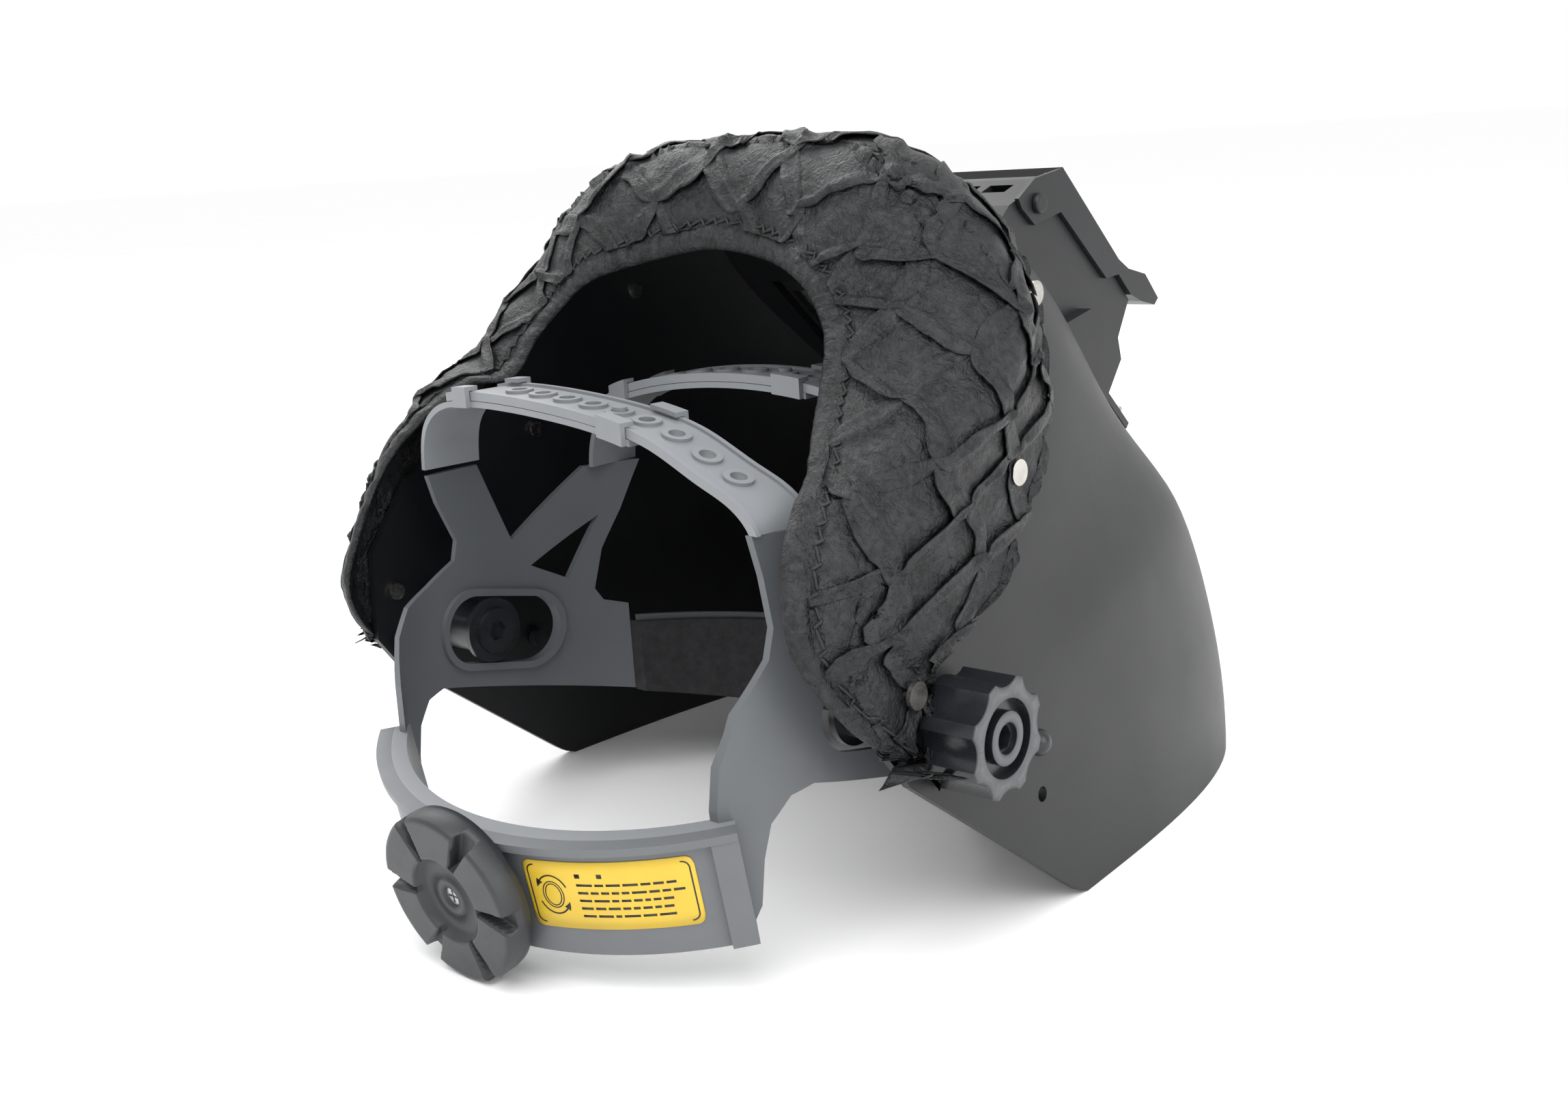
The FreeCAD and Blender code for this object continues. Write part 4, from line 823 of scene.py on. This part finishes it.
    def stitch_piece(self) -> bpy.types.Object:
        """Make the row of lock stitches inside the hem.

        Returns:
            The object.
        """
        points, faces, count = [], [], 0
        ring = np.linspace(0, 2 * np.pi, 7)[:-1]
        number = int(self.long[-1] / self.stitch_pitch)
        for k in range(1, number):
            for lean, reach in ((0.9, 0.42), (-1.6, 0.2)):
                middle = k * self.stitch_pitch + (0 if lean > 0 else self.stitch_pitch / 2)
                a = np.linspace(-1, 1, 7)
                u = np.clip(middle + a * self.stitch_pitch * reach, 0.5, self.long[-1] - 0.5)
                row = (u / self.long[-1] * (self.rows - 1)).astype(int)
                v = self.width[row] - self.hem_wide - 0.6 + a * lean
                line = self.on_skin(u, v, 0.45 * (1 - a ** 2) - 0.1)
                normal = self.on_skin(u, v, 0.45 * (1 - a ** 2) + 0.9) - line
                normal /= np.linalg.norm(normal, axis=1, keepdims=True)
                side = np.cross(np.gradient(line, axis=0), normal)
                side /= np.linalg.norm(side, axis=1, keepdims=True)
                thick = self.stitch_radius * MM * np.sqrt(np.clip(1.02 - a ** 4, 0.05, 1))
                tube = line[:, None] + thick[:, None, None] * (
                    np.cos(ring)[None, :, None] * normal[:, None]
                    + np.sin(ring)[None, :, None] * side[:, None])
                points.append(tube.reshape(-1, 3))
                faces += grid_faces(7, 6, count, wrap=True)
                faces += [tuple(range(count + 5, count - 1, -1)),
                          tuple(range(count + 36, count + 42))]
                count += 42
        return mesh_piece("hem_stitches", np.concatenate(points), faces, THREAD, Body.SHELL)


# ---------------------------------------------------------------- nape ratchet
@dataclass(frozen=True)
class NapeAxes:
    """The nape's own axes: where its arc is centred from the tilt axis, and its lean."""

    place: tuple[float, float, float] = (0.0, -26.8, -26.0)
    lean: float = 10.0

    def carry(self, points: np.ndarray) -> np.ndarray:
        """Take points in millimetres on the nape's axes to metres in the frame."""
        turn = np.array(Matrix.Rotation(math.radians(-self.lean), 3, "X"))
        return (points @ turn.T + np.array(self.place)) * MM + np.array(tilt_axis())


@dataclass
class RatchetDial:
    """The size dial: raised rim lobes parted by wedge notches, round a sunk middle."""

    axes: NapeAxes
    radius: float = 27.5
    thick: float = 10.0
    base: float = 112.4
    notches: int = 6
    notch_depth: float = 4.2
    dish: float = 14.0
    around: int = 480

    def build(self) -> None:
        """Turn the dial's profile about its axis, and sink the notches."""
        top = self.thick
        inner = [(0.02, top - 4.6), (3.2, top - 4.6), (3.35, top - 2.4), (6.2, top - 2.4),
                 (6.5, top - 3.2), (self.dish - 1.0, top - 3.2), (self.dish - 0.2, top - 0.5)]
        lobes = [(r, top) for r in np.linspace(self.dish + 0.4, self.radius - 1.5, 22)]
        outer = [(self.radius - 0.6, top - 0.3), (self.radius, top - 1.2), (self.radius, 3.0),
                 (self.radius - 0.3, 1.0), (self.radius - 1.2, 0.0), (4.0, 0.0)]
        profile = np.array(inner + lobes + outer)
        angle = np.linspace(0, 2 * math.pi, self.around, endpoint=False)
        reach = np.repeat(profile[:, 0][:, None], self.around, axis=1)
        height = np.repeat(profile[:, 1][:, None], self.around, axis=1)
        step = 2 * math.pi / self.notches
        off = ((angle + step / 2) % step - step / 2)[None, :] * reach
        spread = np.clip((reach - self.dish) / (self.radius - self.dish), 0, 1)
        wall = np.minimum(off + 0.8 + 3.6 * spread, 1.1 + 0.7 * spread - off)
        cut = np.clip(wall / 0.5 + 0.5, 0, 1) * (reach > self.dish)
        height = np.where(height > self.thick - self.notch_depth,
                          height - cut * (height - self.thick + self.notch_depth), height)
        points = np.stack([reach * np.cos(angle)[None, :], self.base + height,
                           -reach * np.sin(angle)[None, :]], axis=2).reshape(-1, 3)
        faces = grid_faces(len(profile), self.around, wrap=True)
        faces += [tuple(range(self.around)), tuple(range(len(points) - 1,
                                                         len(points) - 1 - self.around, -1))]
        dial = mesh_piece("ratchet_dial", self.axes.carry(points), faces, DIAL_NYLON,
                          Body.RATCHET)
        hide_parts("ratchet_knob")


@dataclass
class NapeLabel:
    """The yellow film on the nape cover with its printed frame, picture and rows of bars.

    Places on it are millimetres along, away from the dial, and up from its lower edge.
    """

    axes: NapeAxes
    radius: float = 110.82
    start: float = 12.0
    low: float = -9.5
    long: float = 53.2
    high: float = 22.5
    corner: float = 2.8
    film: float = 0.3
    ink: float = 0.05
    frame_inset: float = 1.5
    points: list = field(default_factory=list)
    faces: list = field(default_factory=list)
    count: int = 0

    def build(self) -> None:
        """Lay the film, then print on it."""
        self.film_piece()
        self.stroke(self.outline(self.frame_inset), 0.45)
        self.picture()
        self.rows_of_bars()
        mesh_piece("label_print", np.concatenate(self.points), self.faces, LABEL_INK,
                   Body.HEADGEAR)

    def on_cover(self, along: np.ndarray, up: np.ndarray, lift: float) -> np.ndarray:
        """Return points on the cover's curve, in metres."""
        turn = -(math.radians(self.start) + along / self.radius)
        reach = self.radius + lift
        points = np.stack([reach * np.sin(turn), reach * np.cos(turn), self.low + up], axis=-1)
        return self.axes.carry(points.reshape(-1, 3))

    def film_piece(self) -> None:
        """Make the film with its rounded corners."""
        rows, columns = 90, 6
        along = np.linspace(0, self.long, rows)
        near = np.clip(self.corner - np.minimum(along, self.long - along), 0, self.corner)
        inset = self.corner - np.sqrt(self.corner ** 2 - near ** 2)
        part = np.linspace(0, 1, columns)[None, :]
        up = inset[:, None] + part * (self.high - 2 * inset)[:, None]
        along = np.repeat(along[:, None], columns, axis=1)
        points = [self.on_cover(along, up, self.film), self.on_cover(along, up, 0.0)]
        film = mesh_piece("label_film", np.concatenate(points), slab_faces(rows, columns),
                          LABEL_FILM, Body.HEADGEAR)
        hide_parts("ratchet_label")

    def outline(self, inset: float) -> np.ndarray:
        """Return a rounded rectangle inside the film's edge."""
        bend = self.corner - inset * 0.4
        turns = np.radians(np.arange(0, 91, 15))
        path = []
        for quarter, (x, y) in enumerate(((1, 1), (0, 1), (0, 0), (1, 0))):
            middle = (inset + bend + x * (self.long - 2 * (inset + bend)),
                      inset + bend + y * (self.high - 2 * (inset + bend)))
            angle = turns + quarter * math.pi / 2
            path += list(zip(middle[0] + bend * np.cos(angle), middle[1] + bend * np.sin(angle)))
        return np.array(path + path[:1])

    def stroke(self, path: np.ndarray, width: float | np.ndarray) -> None:
        """Print one line of ink along a path."""
        run = np.gradient(path, axis=0)
        run /= np.linalg.norm(run, axis=1, keepdims=True) + 1e-9
        side = np.stack([-run[:, 1], run[:, 0]], axis=1) * (np.asarray(width) / 2).reshape(-1, 1)
        grid = np.stack([path - side, path + side], axis=1)
        for lift in (self.film + self.ink, self.film - 0.02):
            self.points.append(self.on_cover(grid[..., 0], grid[..., 1], lift))
        self.faces += slab_faces(len(path), 2, self.count)
        self.count += 4 * len(path)

    def arc(self, middle: tuple[float, float], size: tuple[float, float], start: float,
            end: float) -> np.ndarray:
        """Return a stretch of an ellipse, its angles in degrees."""
        angle = np.radians(np.linspace(start, end, 24))
        return np.stack([middle[0] + size[0] * np.cos(angle),
                         middle[1] + size[1] * np.sin(angle)], axis=1)

    def picture(self) -> None:
        """Print a headband seen from above between two curved arrows."""
        middle = (8.6, self.high / 2)
        for size in ((2.6, 3.6), (3.4, 4.4)):
            self.stroke(self.arc(middle, size, 0, 360), 0.35)
        for start in (25, 205):
            self.stroke(self.arc(middle, (5.2, 6.4), start, start + 110), 0.5)
            tip = self.arc(middle, (5.2, 6.4), start + 110, start + 135)
            self.stroke(tip, np.linspace(2.2, 0.05, len(tip)))

    def rows_of_bars(self) -> None:
        """Print rows of plain bars."""
        random = np.random.default_rng(8)
        left, right = 17.0, self.long - 4.0
        self.stroke(np.array([(left, self.high - 4.6), (left + 8.5, self.high - 4.6)]), 1.4)
        for row in range(5):
            up, along = self.high - 7.6 - 2.6 * row, left
            end = right - random.uniform(0, 9)
            while along < end:
                word = random.uniform(1.6, 5.0)
                stop = min(along + word, right)
                self.stroke(np.array([(along, up), (stop, up)]), 0.8)
                along = stop + 0.8


# ---------------------------------------------------------------- tension knobs
@dataclass
class KnobFace:
    """The grey outer face of one tension knob: a scalloped rim and a hub."""

    name: str
    side: int
    body: Body
    crest: float = 17.3
    scallop_out: float = 23.1
    scallop: float = 8.25
    lobes: int = 8
    rim_inner: float = 11.6
    hub: tuple[float, float] = (4.9, 7.6)
    proud: float = 0.06

    def build(self) -> None:
        """Lay the rim and the hub on the knob's flat face."""
        low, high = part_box(self.name)
        face = max(abs(low[0]), abs(high[0])) / MM
        angle = np.linspace(0, 2 * math.pi, 241)
        step = 2 * math.pi / self.lobes
        off = (angle + step / 2) % step - step / 2
        inside = self.scallop ** 2 - (self.scallop_out * np.sin(off)) ** 2
        dip = self.scallop_out * np.cos(off) - np.sqrt(np.clip(inside, 0, None))
        rim = np.where(inside > 0, np.minimum(dip, self.crest), self.crest) - 0.25
        points, faces = [], []
        for inner, outer in ((np.full_like(rim, self.rim_inner), rim),
                             (np.full_like(rim, self.hub[0]), np.full_like(rim, self.hub[1]))):
            reach = np.stack([inner, outer], axis=1)
            for lift in (self.proud, -0.02):
                x = np.full_like(reach, self.side * (face + lift))
                grid = np.stack([x, reach * np.cos(angle)[:, None],
                                 reach * np.sin(angle)[:, None]], axis=2)
                points.append(grid.reshape(-1, 3) * MM + np.array(tilt_axis()))
            faces += slab_faces(len(angle), 2, len(faces) and 4 * len(angle))
        mesh_piece(f"{self.name}_face", np.concatenate(points), faces, KNOB_FACE, self.body)


# ---------------------------------------------------------------- stage
@dataclass
class Stage:
    """Floor, lights, surroundings and camera."""

    camera_place: tuple[float, float, float] = (-0.38357, 0.4386, 0.23648)
    camera_target: tuple[float, float, float] = (-0.022157, 0.031034, 0.106593)
    camera_roll: float = 3.68
    camera_lens: float = 38.51
    floor_half: float = 60.0

    def build(self) -> None:
        """Set everything up."""
        self.floor()
        self.surroundings()
        self.softbox("key", (-0.5, 0.9, 1.7), 1.6, 26.0)
        self.softbox("fill", (-1.7, 0.1, 0.9), 1.4, 14.0)
        self.softbox("rim", (1.3, -0.6, 1.4), 1.2, 16.0)
        self.camera()

    def floor(self) -> None:
        """Lay a plain pale floor."""
        half = self.floor_half
        mesh = bpy.data.meshes.new("floor")
        mesh.from_pydata([(-half, -half, 0), (half, -half, 0), (half, half, 0),
                          (-half, half, 0)], [], [(0, 1, 2, 3)])
        mesh.materials.append(Finish("pale floor", (0.985, 0.985, 0.985), roughness=0.9,
                                     mottle=0.005, mottle_size=0.5, grain_height=0.0).build())
        floor = bpy.data.objects.new("floor", mesh)
        bpy.context.scene.collection.objects.link(floor)

    def surroundings(self) -> None:
        """Fill the room with even pale light."""
        world = bpy.data.worlds.new("studio")
        world.use_nodes = True
        back = world.node_tree.nodes["Background"]
        back.inputs["Color"].default_value = (1.0, 1.0, 1.0, 1.0)
        back.inputs["Strength"].default_value = 1.0
        bpy.context.scene.world = world
        bpy.context.scene.view_settings.view_transform = "Standard"

    def softbox(self, name: str, place: tuple[float, float, float], size: float,
                power: float) -> None:
        """Hang one soft light that looks at the helmet.

        Args:
            name: the light's name.
            place: where it hangs, in metres.
            size: how wide it is.
            power: its power in watts.
        """
        light = bpy.data.lights.new(name, "AREA")
        light.size = size
        light.energy = power
        lamp = bpy.data.objects.new(name, light)
        lamp.location = place
        aim = Vector((0.0, 0.0, 0.1)) - Vector(place)
        lamp.rotation_euler = aim.to_track_quat("-Z", "Y").to_euler()
        bpy.context.scene.collection.objects.link(lamp)

    def camera(self) -> None:
        """Stand the camera behind the helmet's right shoulder."""
        data = bpy.data.cameras.new("camera")
        data.lens = self.camera_lens
        data.sensor_width = 36.0
        camera = bpy.data.objects.new("camera", data)
        aim = Vector(self.camera_target) - Vector(self.camera_place)
        turn = aim.to_track_quat("-Z", "Y").to_matrix()
        roll = Matrix.Rotation(math.radians(-self.camera_roll), 3, "Z")
        camera.matrix_world = Matrix.Translation(self.camera_place) @ (turn @ roll).to_4x4()
        bpy.context.scene.collection.objects.link(camera)
        bpy.context.scene.camera = camera


def main() -> None:
    """Build everything around the frame."""
    logging.basicConfig(level=logging.INFO, format="%(name)s: %(message)s")
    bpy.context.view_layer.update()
    dress_nodes()
    LeatherHood().build()
    RatchetDial(NapeAxes()).build()
    NapeLabel(NapeAxes()).build()
    KnobFace("tension_knob_left", 1, Body.KNOB_LEFT).build()
    KnobFace("tension_knob_right", -1, Body.KNOB_RIGHT).build()
    Stage().build()


if __name__ == "__main__":
    main()
